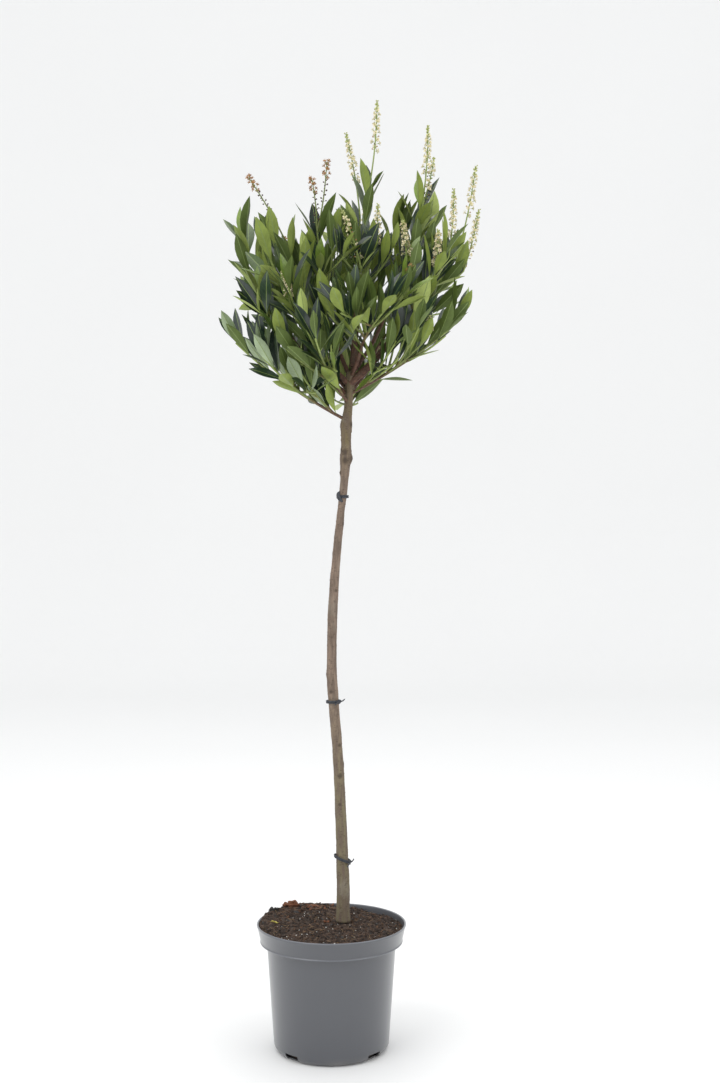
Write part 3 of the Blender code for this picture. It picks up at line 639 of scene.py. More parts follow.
def speckled(name, colour, roughness, scale=400, spread=0.25, **constants):
    """A plain finish with a fine grain in its colour and relief."""
    finish = Finish(name, roughness, **constants)
    grain = finish.grain(scale)
    finish.coloured(finish.varied(grain.between(0.3, 0.7), colour, 1 - spread, 1 + spread))
    return finish.bumped(grain, 0.25, 0.0004).material


# Modelling


def seeded(kind, number):
    """The random draws of one thing of this kind."""
    return random.Random(SEED * SEED_STEPS[kind] + number)


def level(turn):
    """The level direction at this turn."""
    return Vector((math.cos(turn), math.sin(turn), 0))


def swung(side, across, angle):
    """The direction this far round from side towards across."""
    return side * math.cos(angle) + across * math.sin(angle)


def spin(rng, axis):
    """A turn of any size about an axis."""
    return Matrix.Rotation(rng.uniform(0, math.tau), 3, axis)


def deselect():
    if bpy.context.object and bpy.context.object.mode != "OBJECT":
        bpy.ops.object.mode_set(mode="OBJECT")
    bpy.ops.object.select_all(action="DESELECT")


def activate(obj):
    deselect()
    obj.select_set(True)
    bpy.context.view_layer.objects.active = obj


def draw_out(name, rings, sides):
    """A circle drawn out ring by ring, each a middle and a radius, with both ends filled."""
    deselect()
    (middle, radius), *others = rings
    bpy.ops.mesh.primitive_circle_add(
        vertices=sides, radius=radius, location=middle, fill_type="NGON"
    )
    obj = bpy.context.object
    obj.name = obj.data.name = name
    bpy.ops.object.transform_apply()
    bpy.ops.object.mode_set(mode="EDIT")
    bpy.ops.mesh.select_all(action="SELECT")
    for after, wider in others:
        bpy.ops.mesh.extrude_region_move(TRANSFORM_OT_translate={"value": after - middle})
        bpy.ops.transform.resize(value=(wider / radius, wider / radius, 1), center_override=after)
        middle, radius = after, wider
    bpy.ops.mesh.select_all(action="SELECT")
    bpy.ops.mesh.normals_make_consistent(inside=False)
    bpy.ops.object.mode_set(mode="OBJECT")
    return obj


def apply_modifier(obj, kind, **settings):
    activate(obj)
    modifier = obj.modifiers.new(kind.title(), kind)
    for key, value in settings.items():
        setattr(modifier, key, value)
    bpy.ops.object.modifier_apply(modifier=modifier.name)


def smooth(obj, angle=35):
    activate(obj)
    bpy.ops.object.shade_smooth_by_angle(angle=math.radians(angle))


def finished(obj, slot, *replaced):
    """The piece rides on the plant and stands for these nodes."""
    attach(obj, "root")
    if replaced:
        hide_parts(*replaced)
    return obj


class Batch:
    """Many small shapes gathered into one mesh, each face with its material's number."""

    def __init__(self):
        self.points = []
        self.faces = []
        self.slots = []
        self.map = []

    def add(self, points, faces, slots, corners=None):
        first = len(self.points)
        self.points.extend(points)
        for face in faces:
            self.faces.append([first + i for i in face])
        self.slots.extend(slots if isinstance(slots, list) else [slots] * len(faces))
        for face in faces:
            self.map.extend(corners[i] if corners else (0, 0) for i in face)

    def made(self, name, materials, angle=50):
        mesh = bpy.data.meshes.new(name)
        mesh.from_pydata([tuple(point) for point in self.points], [], self.faces)
        mesh.polygons.foreach_set("material_index", self.slots)
        layer = mesh.uv_layers.new(name="blade")
        layer.uv.foreach_set("vector", np.array(self.map, np.float32).ravel())
        for material in materials:
            mesh.materials.append(material)
        mesh.update()
        obj = bpy.data.objects.new(name, mesh)
        bpy.context.scene.collection.objects.link(obj)
        smooth(obj, angle)
        return obj


def tube(points, radii, sides):
    """Points and faces of a round limb along a line, closed at both ends."""
    made = []
    side = None
    for i, (point, radius) in enumerate(zip(points, radii)):
        heading = points[min(i + 1, len(points) - 1)] - points[max(i - 1, 0)]
        heading.normalize()
        side = side - heading * side.dot(heading) if side else heading.orthogonal()
        side.normalize()
        across = heading.cross(side)
        for k in range(sides):
            made.append(point + swung(side, across, math.tau * k / sides) * radius)
    faces = [list(reversed(range(sides)))]
    for i in range(len(points) - 1):
        for k in range(sides):
            a, b = i * sides + k, i * sides + (k + 1) % sides
            faces.append([a, b, b + sides, a + sides])
    faces.append([(len(points) - 1) * sides + k for k in range(sides)])
    return made, faces


def lump(middle, size, rng, squash=1.0, uneven=0.35):
    """Points and faces of a small rough grain."""
    turn = spin(rng, "Z")
    tip = Matrix.Rotation(rng.uniform(0, math.pi), 3, "X")
    points = []
    for x, y, z in ((1, 0, 0), (0, 1, 0), (-1, 0, 0), (0, -1, 0), (0, 0, 1), (0, 0, -1)):
        reach = size * rng.uniform(1 - uneven, 1 + uneven)
        point = turn @ tip @ Vector((x, y, z)) * reach
        point.z *= squash
        points.append(middle + point)
    faces = [[k, (k + 1) % 4, 4] for k in range(4)] + [[(k + 1) % 4, k, 5] for k in range(4)]
    return points, faces


# Pot


class LAUREL_OT_pot(bpy.types.Operator):
    """Turns the nursery pot, with its rolled rim, collar and foot notches"""

    bl_idname = "laurel.pot"
    bl_label = "Make Pot"

    def execute(self, context):
        settings = context.scene.laurel_pot
        rings = [(Vector((0, 0, z)), r) for r, z in self.profile()]
        pot = draw_out("nursery_pot", rings, settings.sides)
        for i in range(NOTCHES):
            self.cut_notch(pot, NOTCH_TURN + math.tau * i / NOTCHES)
        smooth(pot, 30)
        pot.data.materials.clear()
        pot.data.materials.append(self.plastic(settings))
        finished(pot, "pot_plastic", "pot")
        return {"FINISHED"}

    def profile(self):
        """(radius, height) from the middle of the underside, up outside and down inside."""
        rim, collar, neck = RIM_RADIUS, COLLAR_FOOT_RADIUS, NECK_RADIUS
        inner_foot, inner_rim = collar - WALL - INNER_DRAFT, rim - WALL - INNER_DRAFT
        arc = [math.radians(90 - 15 * k) for k in range(7)]
        centre = FOOT_RADIUS - FOOT_ROUNDING
        outer = [
            (centre + FOOT_ROUNDING * math.cos(a), FOOT_ROUNDING * (1 - math.sin(a))) for a in arc
        ]
        inside = FOOT_ROUNDING - WALL
        inner = [
            (centre + inside * math.cos(a), max(FLOOR, FOOT_ROUNDING - inside * math.sin(a)))
            for a in reversed(arc)
        ]
        return [
            (0.020, 0.0), (0.0225, 0.0), (0.0230, 0.0006), (0.0240, 0.0006), (0.0245, 0.0),
            (0.060, 0.0), *outer, (neck - 0.0008, SHOULDER - 0.0115), (neck, SHOULDER - 0.0035),
            (neck + 0.0008, SHOULDER - 0.0016), (collar - 0.0022, SHOULDER - 0.0004),
            (collar - 0.0004, SHOULDER), (collar + 0.0006, SHOULDER + 0.0006),
            (collar + 0.0008, SHOULDER + 0.0015), (collar + 0.0004, SHOULDER + 0.0022),
            (collar - 0.0002, SHOULDER + 0.0032), (rim - 0.0014, POT_HEIGHT - 0.0055),
            (rim - 0.0004, POT_HEIGHT - 0.0040), (rim, POT_HEIGHT - 0.0026),
            (rim, POT_HEIGHT - 0.0012), (rim - 0.0005, POT_HEIGHT - 0.0003),
            (rim - 0.0013, POT_HEIGHT), (rim - 0.0024, POT_HEIGHT - 0.0003),
            (inner_rim, POT_HEIGHT - 0.0012), (inner_foot, SHOULDER + 0.0033),
            (neck - WALL, SHOULDER - 0.002), *inner, (0.020, FLOOR),
        ]

    def cut_notch(self, pot, turn):
        deselect()
        bpy.ops.mesh.primitive_cube_add(size=1, location=level(turn) * FOOT_RADIUS)
        cutter = bpy.context.object
        cutter.scale = NOTCH_SIZE
        cutter.rotation_euler.z = turn
        apply_modifier(cutter, "BEVEL", width=NOTCH_ROUNDING, segments=2)
        bpy.context.view_layer.update()
        apply_modifier(pot, "BOOLEAN", operation="DIFFERENCE", object=cutter, solver="EXACT")
        bpy.data.objects.remove(cutter)

    def plastic(self, settings):
        rough = settings.roughness
        finish = Finish("moulded plastic", rough, Coat_Weight=0.90, Coat_Roughness=0.30)
        colour = tuple(settings.colour)
        cloud = finish.grain(9, 4)
        scuff = finish.grain(60, 5, 0.7, finish.stretched((1, 1, 0.18))).between(0.60, 0.78)
        fine = finish.grain(2600, 2)
        height = finish.axis("Z")
        base = finish.varied(cloud, colour, 0.93, 1.07)
        base = finish.mixed(scuff * 0.22, base, shade(colour, 1.7))
        dust = height.between(0.02, 0.0) * cloud.between(0.35, 0.7)
        # Painted highlight: the top edge of the rim and the bead under the collar are coloured
        # paler, standing in for the light they catch
        painted_rim_highlight = height.between(POT_HEIGHT - 0.0026, POT_HEIGHT - 0.0010)
        painted_bead_highlight = height.between(SHOULDER - 0.0004, SHOULDER + 0.0006)
        painted_bead_highlight = painted_bead_highlight * height.between(SHOULDER + 0.0030, SHOULDER + 0.0020)
        base = finish.mixed((painted_rim_highlight + painted_bead_highlight) * 0.55, base, shade(colour, 2.4))
        finish.coloured(finish.mixed(dust * 0.35, base, (0.24, 0.22, 0.19)))
        finish.feed("Roughness", cloud * 0.10 + scuff * 0.12 + (rough - 0.06))
        return finish.bumped(fine * 0.6 + cloud * 0.4, 0.10, 0.0006).material


# Soil


def soil_height(x, y):
    """The soil's top: flat round the trunk, lower at the rim and heaped on one side."""
    radius = math.hypot(x, y)
    share = max(0, (radius - SOIL_FLAT_RADIUS) / (RIM_RADIUS - SOIL_FLAT_RADIUS))
    heap = max(0, math.cos(math.atan2(y, x) - SOIL_HEAP_TOWARDS)) ** 1.5
    return SOIL_TOP - SOIL_EDGE_DROP * share**1.5 + SOIL_HEAP * heap * share


def soil_relief(x, y):
    """Clods and hollows on the soil."""
    place = Vector((x, y, 0.3))
    return sum(noise.noise(place * scale) * height for scale, height in CLODS)


def soil_surface(x, y):
    return soil_height(x, y) + soil_relief(x, y)


def on_soil(x, y, lift):
    return Vector((x, y, soil_surface(x, y) + lift))


class LAUREL_OT_soil(bpy.types.Operator):
    """Fills the pot with soil and strews it with crumbs, fibres, perlite and bark"""

    bl_idname = "laurel.soil"
    bl_label = "Make Soil"

    PEAT, DARK_PEAT, PERLITE, FIBRE, RED_BARK, LITTER, BROWN, DARK_WOOD = range(8)
    CRUMB_KINDS = (PEAT, PEAT, PEAT, DARK_PEAT, DARK_PEAT, BROWN)
    CHIP_KINDS = (BROWN, BROWN, BROWN, DARK_WOOD, DARK_WOOD)
    HEAPED_KINDS = (RED_BARK, RED_BARK, BROWN, BROWN, DARK_WOOD)

    # The large pieces: place, size, kind, lift
    LUMPS = (
        ((-0.0770, 0.0920), 0.0140, RED_BARK, 0.0090),
        ((-0.0920, 0.0970), 0.0080, RED_BARK, 0.0060),
        ((-0.0600, 0.1040), 0.0070, BROWN, 0.0040),
        ((-0.1165, 0.0660), 0.0072, DARK_WOOD, 0.0050),
        ((-0.1080, 0.0700), 0.0055, DARK_WOOD, 0.0035),
        ((-0.0070, 0.0020), 0.0042, RED_BARK, 0.0020),
        ((-0.0125, 0.0060), 0.0034, RED_BARK, 0.0018),
        ((-0.0030, 0.0095), 0.0036, BROWN, 0.0018),
    )

    def execute(self, context):
        settings = context.scene.laurel_soil
        self.fill(settings)
        self.strew(settings)
        return {"FINISHED"}

    def fill(self, settings):
        neck = NECK_RADIUS - WALL - SOIL_CLEARANCE
        foot = FOOT_RADIUS - WALL - SOIL_CLEARANCE
        side = [
            (foot - 0.012, FLOOR + 0.0003), (foot, 0.016), (neck, SHOULDER - 0.002),
            (COLLAR_FOOT_RADIUS - WALL - 0.0015, SHOULDER + 0.0040),
            (SOIL_EDGE_RADIUS, SOIL_TOP - 0.016),
        ]
        edge = SOIL_EDGE_RADIUS
        top = [(edge * (1 - k / SOIL_RINGS), SOIL_TOP) for k in range(SOIL_RINGS)]
        rings = [(Vector((0, 0, z)), r) for r, z in side + top]
        soil = draw_out("soil_bed", rings, SOIL_SIDES)
        for vert in soil.data.vertices:
            x, y, z = vert.co
            if z > SOIL_TOP - 1e-5:
                vert.co.z = soil_surface(x, y)
        smooth(soil, 60)
        soil.data.materials.append(self.peat("moist peat", tuple(settings.colour)))
        finished(soil, "potting_soil", "soil")

    def peat(self, name, colour):
        finish = Finish(name, 0.92)
        coarse, fine = finish.grain(95, 5, 0.65), finish.grain(620, 4, 0.7)
        base = finish.ramp(
            coarse * 0.5 + fine * 0.5,
            ((0.38, shade(colour, 0.22)), (0.50, colour), (0.64, shade(colour, 3.4))),
        )
        finish.coloured(base)
        return finish.bumped(coarse * 0.5 + fine * 0.5, 1.0, 0.0026).material

    def strew(self, settings):
        rng = random.Random(SEED)
        batch = Batch()
        for _ in range(settings.crumbs):
            middle = self.spot(rng, CRUMB_LIFT)
            size = rng.choice(CRUMB_SIZES)
            batch.add(*lump(middle, size, rng, 0.8), rng.choice(self.CRUMB_KINDS))
        for _ in range(settings.perlite):
            middle = self.spot(rng, PERLITE_LIFT)
            batch.add(*lump(middle, rng.uniform(*PERLITE_SIZES), rng, 0.9), self.PERLITE)
        chips = (settings.chips, self.spot, CHIP_LIFT, CHIP_SIZES, self.CHIP_KINDS)
        heaped = (HEAPED_CHIPS, self.heaped_spot, HEAPED_LIFT, HEAPED_SIZES, self.HEAPED_KINDS)
        for count, spot, lift, sizes, kinds in (chips, heaped):
            for _ in range(count):
                self.add_chip(batch, spot(rng, lift), rng.uniform(*sizes), rng, kinds)
        for _ in range(settings.fibres):
            self.add_fibre(batch, rng)
        self.add_lumps(batch)
        colour, bark = tuple(settings.colour), tuple(settings.bark_colour)
        materials = [
            self.peat("peat crumb", shade(colour, 1.25)),
            self.peat("dark peat crumb", shade(colour, 0.6)),
            speckled("perlite", (0.78, 0.77, 0.72), 0.8, 900, 0.1),
            speckled("coir fibre", (0.36, 0.24, 0.12), 0.8),
            speckled("red bark chip", bark, 0.85, 260, 0.5),
            speckled("young shoot litter", (0.50, 0.42, 0.08), 0.6),
            speckled("brown crumb", (0.085, 0.046, 0.026), 0.9, 300, 0.5),
            speckled("dark wood chip", (0.030, 0.026, 0.024), 0.75, 200, 0.5),
        ]
        finished(batch.made("soil_litter", materials, 25), "potting_soil")

    def spot(self, rng, lift):
        """A place on the soil, clear of the trunk and the pot's wall."""
        while True:
            radius = (SOIL_EDGE_RADIUS - RIM_CLEARANCE) * math.sqrt(rng.random())
            turn = rng.uniform(0, math.tau)
            x, y = radius * math.cos(turn), radius * math.sin(turn)
            if math.hypot(x - TRUNK_STATIONS[0][1], y) > TRUNK_CLEARANCE:
                return on_soil(x, y, lift)

    def heaped_spot(self, rng, lift):
        turn = rng.gauss(*HEAPED_TURN)
        radius = rng.uniform(*HEAPED_RADII)
        return on_soil(radius * math.cos(turn), radius * math.sin(turn), lift)

    def add_chip(self, batch, middle, size, rng, kinds):
        """A flat splinter of bark, lying askew."""
        turn = spin(rng, "Z") @ Matrix.Rotation(rng.gauss(0, 0.35), 3, "X")
        turn = turn @ Matrix.Rotation(rng.gauss(0, 0.25), 3, "Y")
        wide, thick = rng.uniform(0.3, 0.6), rng.uniform(0.08, 0.16)
        ends = rng.uniform(0.4, 0.9)
        edge = (-1, -ends), (0.2, -1), (1, -0.4 * ends), (0.8, 0.8), (-0.3, 1), (-0.9, 0.5)
        points = [
            middle + turn @ Vector((x * size, y * size * wide, z * size * thick))
            for z in (-1, 1)
            for x, y in edge
        ]
        faces = [[5, 4, 3, 2, 1, 0], [6, 7, 8, 9, 10, 11]]
        faces += [[k, (k + 1) % 6, (k + 1) % 6 + 6, k + 6] for k in range(6)]
        batch.add(points, faces, rng.choice(kinds))

    def add_fibre(self, batch, rng):
        start = self.spot(rng, CHIP_LIFT)
        turn, bend = rng.uniform(0, math.tau), rng.uniform(*FIBRE_BENDS)
        length = rng.uniform(*FIBRE_LENGTHS)
        points = []
        while len(points) <= FIBRE_STEPS:
            points.append(start.copy())
            start = start + level(turn) * length / FIBRE_STEPS
            start.z = max(start.z, soil_surface(start.x, start.y))
            start.z += rng.uniform(0.0, CHIP_LIFT)
            turn += bend
        batch.add(*tube(points, [FIBRE_RADIUS] * len(points), 3), self.FIBRE)

    def add_lumps(self, batch):
        """The large pieces on the heaped side: a lump of bark, a dark chip and a green curl."""
        for (x, y), size, kind, lift in self.LUMPS:
            middle = Vector((x, y, soil_height(x, y) + lift * LUMP_SINK))
            batch.add(*self.boulder(middle, size), kind)
        x, y = CURL_START
        curl = [Vector((x + 0.0030 * k, y + 0.004 * math.sin(k * 1.1), 0)) for k in range(6)]
        curl = [on_soil(point.x, point.y, CURL_LIFT) for point in curl]
        batch.add(*tube(curl, CURL_RADII, 5), self.LITTER)

    def boulder(self, middle, size):
        """A rough lump worked from a ball."""
        rings, sides = 9, 14
        points, faces = [], []
        for i in range(rings + 1):
            polar = math.pi * i / rings
            for k in range(sides):
                turn, wide = math.tau * k / sides, math.sin(polar)
                out = Vector((wide * math.cos(turn), wide * math.sin(turn), math.cos(polar)))
                rough = 0.80 + 0.55 * noise.noise(middle * 90 + out * 1.7)
                rough += 0.16 * noise.noise(middle * 50 + out * 5)
                points.append(middle + Vector((out.x, out.y * 0.8, out.z * 0.72)) * size * rough)
        for i in range(rings):
            for k in range(sides):
                a, b = i * sides + k, i * sides + (k + 1) % sides
                faces.append([a, a + sides, b + sides, b])
        return points, faces


# Trunk, boughs and ties


def trunk_at(height):
    """The trunk's middle and radius at a height, on a smooth line through its stations."""
    rise = height - TRUNK_BASE
    rows = TRUNK_STATIONS
    i = max(1, min(len(rows) - 1, sum(row[0] < rise for row in rows)))
    (low, _, _), (high, _, _) = rows[i - 1], rows[i]
    t = (rise - low) / (high - low)
    before, after = rows[max(i - 2, 0)], rows[min(i + 1, len(rows) - 1)]
    values = []
    for column in (1, 2):
        p0, p1, p2, p3 = before[column], rows[i - 1][column], rows[i][column], after[column]
        slope_1 = (p2 - p0) / (high - before[0]) * (high - low) if i > 1 else p2 - p1
        slope_2 = (p3 - p1) / (after[0] - low) * (high - low)
        values.append(
            p1 * (2 * t**3 - 3 * t**2 + 1) + slope_1 * (t**3 - 2 * t**2 + t)
            + p2 * (3 * t**2 - 2 * t**3) + slope_2 * (t**3 - t**2)
        )
    bow = -TRUNK_BOW * math.sin(math.pi * max(0, min(1, rise / TRUNK_STATIONS[-1][0])))
    return Vector((values[0], bow, height)), values[1]


def arching(start, end, outward=0.55, rise=0.36):
    """A line that leaves start leaning outwards and turns up towards end."""
    span = end - start
    bend = start + Vector((span.x * outward, span.y * outward, span.z * rise))
    return curved(start, bend, end)


def curved(start, bend, end):
    shares = [step / SHOOT_STEPS for step in range(SHOOT_STEPS + 1)]
    return [start * (1 - t) ** 2 + bend * 2 * t * (1 - t) + end * t**2 for t in shares]


def bough_line(name):
    height, end, _, _ = BOUGHS[name]
    start, _ = trunk_at(height)
    return arching(start, Vector(end), BOUGH_OUTWARD, BOUGH_RISE)


def tapered(first, last, count):
    return [first + (last - first) * i / (count - 1) for i in range(count)]


class LAUREL_OT_trunk(bpy.types.Operator):
    """Draws out the trunk and boughs and gives them their bark's relief"""

    bl_idname = "laurel.trunk"
    bl_label = "Make Trunk"

    def execute(self, context):
        settings = context.scene.laurel_bark
        trunk = self.draw_trunk(settings)
        trunk.data.materials.append(self.trunk_bark(settings))
        finished(trunk, "trunk_bark", "trunk")
        boughs = self.draw_boughs(settings)
        boughs.data.materials.append(self.bough_bark(settings))
        finished(boughs, "bough_bark", *BOUGH_NODES)
        return {"FINISHED"}

    def draw_trunk(self, settings):
        rise = TRUNK_HIGH.z - TRUNK_BASE
        heights = [TRUNK_BASE + rise * i / TRUNK_RINGS for i in range(TRUNK_RINGS + 1)]
        trunk = draw_out("trunk_stem", [trunk_at(height) for height in heights], TRUNK_SIDES)
        apply_modifier(
            trunk, "SUBSURF", levels=2, render_levels=2, boundary_smooth="PRESERVE_CORNERS"
        )
        mesh = trunk.data
        wound = mesh.attributes.new("wound", "FLOAT", "POINT")
        spots = [self.knot_place(knot) for knot in KNOTS]
        moves = []
        for i, vert in enumerate(mesh.vertices):
            middle, _ = trunk_at(min(max(vert.co.z, TRUNK_BASE), TRUNK_HIGH.z))
            out = vert.co - middle
            out.z = 0
            out.normalize()
            raised = self.relief(vert.co, settings.relief)
            scar = 0.0
            for place, size, raise_by in spots:
                near = math.exp(-((vert.co - place).length / size) ** 2)
                raised += raise_by * near
                scar = max(scar, near)
            wound.data[i].value = scar
            moves.append(out * raised)
        for vert, move in zip(mesh.vertices, moves):
            if vert.co.z > TRUNK_BASE + 0.0005:
                vert.co += move
            else:
                vert.co.z = TRUNK_BASE
        smooth(trunk, 60)
        return trunk

    def knot_place(self, knot):
        height, bearing, size, raise_by = knot
        middle, radius = trunk_at(height)
        return middle + level(math.radians(bearing)) * radius, size, raise_by

    def relief(self, place, height):
        """How far the bark stands out here: broad swellings, ridges along the stem and pores."""
        broad = noise.noise(place * 38) * 1.3
        ridges, fine, pores = (
            noise.noise(Vector((place.x * around, place.y * around, place.z * along)))
            for around, along in ((260, 30), (700, 420), (170, 420))
        )
        pores = max(0, pores - PORES_ABOVE)
        rough = 1 + GRAFT_ROUGHENS * max(0, min(1, (place.z - GRAFT_HEIGHT) / GRAFT_FADE))
        return height * rough * (broad + ridges * 0.9 + fine * 0.35 + pores * 2.4)

    def draw_boughs(self, settings):
        batch = Batch()
        for name, (_, _, thick, thin) in BOUGHS.items():
            line = list(self.dense(bough_line(name)))
            radii = [
                radius * (1 + BOUGH_SWELL * math.exp(-i / BOUGH_SWELL_FADE))
                for i, radius in enumerate(tapered(thick, thin, len(line)))
            ]
            points, faces = tube(line, radii, BOUGH_SIDES)
            for i, point in enumerate(points):
                out = (point - line[i // BOUGH_SIDES]).normalized()
                points[i] = point + out * self.relief(point, settings.relief * 0.8)
            batch.add(points, faces, 0)
        return batch.made("boughs", [], 60)

    def dense(self, line):
        for a, b in zip(line, line[1:]):
            for k in range(BOUGH_STEPS):
                yield a.lerp(b, k / BOUGH_STEPS)
        yield line[-1]

    def trunk_bark(self, settings):
        finish = Finish("trunk bark", 0.82)
        height = finish.axis("Z")
        low, middle = tuple(settings.low_colour), tuple(settings.middle_colour)
        high = tuple(settings.high_colour)
        wander = finish.grain(14, 3) * 0.16
        base = finish.ramp(
            height * 0.75 + wander,
            ((0.22, low), (0.42, shade(low, 1.15)), (0.60, middle), (0.87, middle), (0.93, high)),
        )
        streak = finish.grain(150, 5, 0.65, finish.stretched((1, 1, 0.16)))
        patch = finish.grain(42, 4, 0.6, finish.stretched((1, 1, 0.45)))
        pores = finish.cells(210, finish.stretched((0.55, 0.55, 1.6))).between(0.30, 0.12)
        base = finish.mixed(streak.between(0.35, 0.68), shade(middle, 0.52), base)
        base = finish.mixed(patch.between(0.54, 0.72) * 0.45, base, (0.27, 0.24, 0.19))
        base = finish.mixed(pores * 0.60, base, (0.055, 0.038, 0.025))
        pale = finish.cells(330, finish.stretched((1, 1, 1.8))).between(0.24, 0.10)
        base = finish.mixed(pale * 0.40, base, (0.42, 0.34, 0.27))
        wound = finish.node("ShaderNodeAttribute", {"attribute_name": "wound"}, {}, "Fac")
        base = finish.mixed(wound.between(0.30, 0.95) * 0.75, base, (0.050, 0.034, 0.024))
        finish.coloured(base)
        relief = streak * 0.6 + patch * 0.4 - pores * 0.4 + pale * 0.3
        return finish.bumped(relief, 0.9, 0.0016).material

    def bough_bark(self, settings):
        colour = tuple(settings.bough_colour)
        finish = Finish("bough bark", 0.75)
        streak = finish.grain(190, 4, 0.6)
        patch = finish.grain(45, 4).between(0.45, 0.65)
        pores = finish.cells(260).between(0.28, 0.12)
        base = finish.varied(streak.between(0.3, 0.7), colour, 0.55, 1.35)
        base = finish.mixed(patch * 0.5, base, (0.125, 0.095, 0.062))
        base = finish.mixed(pores * 0.35, base, (0.26, 0.19, 0.12))
        finish.coloured(base)
        return finish.bumped(streak + pores * 0.4, 0.6, 0.0008).material


class LAUREL_OT_ties(bpy.types.Operator):
    """Knots the three soft ties round the trunk"""

    bl_idname = "laurel.ties"
    bl_label = "Make Ties"

    def execute(self, context):
        material = speckled("tie band", (0.040, 0.044, 0.052), 0.58, 500, 0.5)
        for name, (height, tilt, bearing) in TIES.items():
            batch = Batch()
            middle, radius = trunk_at(height)
            reach = radius + TIE_CLEARANCE + TIE_THICKNESS / 2
            for lift, turn in TIE_TURNS:
                self.add_band(batch, middle + UP * lift, reach, tilt, turn)
            add_knot = self.add_crescent if name == "tie_high" else self.add_knot
            add_knot(batch, middle, reach, tilt, math.radians(bearing))
            tie = batch.made(f"{name}_band", [material], 60)
            finished(tie, "tie", name)
        return {"FINISHED"}

    def around(self, middle, reach, tilt, turn):
        return middle + Vector((math.cos(turn), math.sin(turn), tilt * math.cos(turn))) * reach

    def add_band(self, batch, middle, reach, tilt, start):
        count = 40
        line = [
            self.around(middle, reach * (1 + 0.012 * math.sin(5 * k)), tilt,
                        start + math.tau * k / count)
            for k in range(count + 2)
        ]
        batch.add(*tube(line, [TIE_BAND_RADIUS] * len(line), 8), 0)

    def add_crescent(self, batch, middle, reach, tilt, bearing):
        """A fat bunched knot, bent like a crescent against the trunk."""
        knot = self.around(middle, reach * 1.10, tilt, bearing)
        out = (knot - middle).normalized()
        along = UP.cross(out).normalized()
        turns = [math.radians(-80 + 160 * k / 14) for k in range(15)]
        line = [
            knot - along * (CRESCENT_BEND * math.cos(a) - 0.0020 + 0.0030 * math.sin(a))
            + UP * CRESCENT_HALF_HEIGHT * math.sin(a) + out * 0.0010 * math.cos(a)
            for a in turns
        ]
        radii = [CRESCENT_RADIUS * math.cos(a) ** 0.7 for a in turns]
        batch.add(*tube(line, radii, 10), 0)

    def add_knot(self, batch, middle, reach, tilt, bearing):
        """A lump where the band is tied, with two short tails."""
        knot = self.around(middle, reach * 1.06, tilt, bearing)
        out = (knot - middle).normalized()
        along = UP.cross(out).normalized()
        loop = [
            knot + along * 0.0032 * math.cos(a) + UP * 0.0030 * math.sin(a) + out * 0.0008
            * math.sin(2 * a)
            for a in (math.tau * k / 14 for k in range(15))
        ]
        batch.add(*tube(loop, [TIE_KNOT_RADIUS] * len(loop), 7), 0)
        for side, drop in ((1, 0.004), (-1, -0.005)):
            tail = [
                knot + along * side * 0.0028 * k + out * (0.0009 * k - 0.00012 * k * k)
                + UP * drop * (k / 5) ** 2
                for k in range(6)
            ]
            batch.add(*tube(tail, tapered(TIE_BAND_RADIUS, TIE_TAIL_END, 6), 7), 0)


# Crown: the shoots, twigs, flower spikes and leaves of each mass


class Shoot:
    def __init__(self, mass, points, radii, leaves, rank):
        self.mass = mass
        self.points = points
        self.radii = radii
        self.leaves = leaves
        self.rank = rank
        self.number = 0


class Leaf:
    def __init__(self, shoot, root, heading, face, length, width, age):
        self.mass = shoot.mass
        self.shoot = shoot
        self.root = root
        self.heading = heading
        self.face = (face - heading * face.dot(heading)).normalized()
        self.side = heading.cross(self.face)
        self.length = length
        self.width = width
        self.age = age

    def place(self, t, across, lift=0.0, arch=LEAF_ARCH, fold=LEAF_FOLD):
        """A point of the blade: t from root to tip, across its width, lift off its face."""
        droop = -arch * self.length * t**2 + fold * self.width * abs(across)
        return (
            self.root
            + self.heading * (t * self.length)
            + self.side * (across * self.width / 2)
            + self.face * (droop + lift)
        )

    def outline(self, start=0.0):
        """A plain flat shape of the blade, to tell what it touches."""
        half = 1 + 2 * CLEAR / self.width
        return [
            self.place(start, 0), self.place(0.34, half), self.place(0.64, half),
            self.place(1, 0), self.place(0.64, -half), self.place(0.34, -half),
        ]


def surface(points, faces):
    return BVHTree.FromPolygons(points, faces)


def line_length(points):
    return sum((b - a).length for a, b in zip(points, points[1:]))


def along(points, share):
    """The place and the heading at this share of a line's length."""
    left = share * line_length(points)
    for a, b in zip(points, points[1:]):
        step = (b - a).length
        if left <= step or b is points[-1]:
            return a.lerp(b, min(left / step, 1)), (b - a).normalized()
        left -= step
    raise ValueError("a line needs two points")


def side_radii(count):
    """Radii of a shoot that starts inside another, whose root stays within it."""
    return [SHOOT_ROOT_RADIUS, *tapered(SHOOT_RADIUS, SHOOT_TIP_RADIUS, count - 1)]


def stem_line(carrier, tip):
    """A mass's stem: straight on from its bough's tip, or out of the trunk."""
    if not isinstance(carrier, str):
        middle, _ = trunk_at(carrier)
        return arching(middle, tip, STEM_OUTWARD, STEM_RISE)
    bough = bough_line(carrier)
    heading = (bough[-1] - bough[-2]).normalized()
    root = bough[-1] - heading * GAP
    start = bough[-1] + heading * STEM_BUTT
    bend = start + heading * (tip - start).length * STEM_BEND
    return [root, *curved(start, bend, tip)]


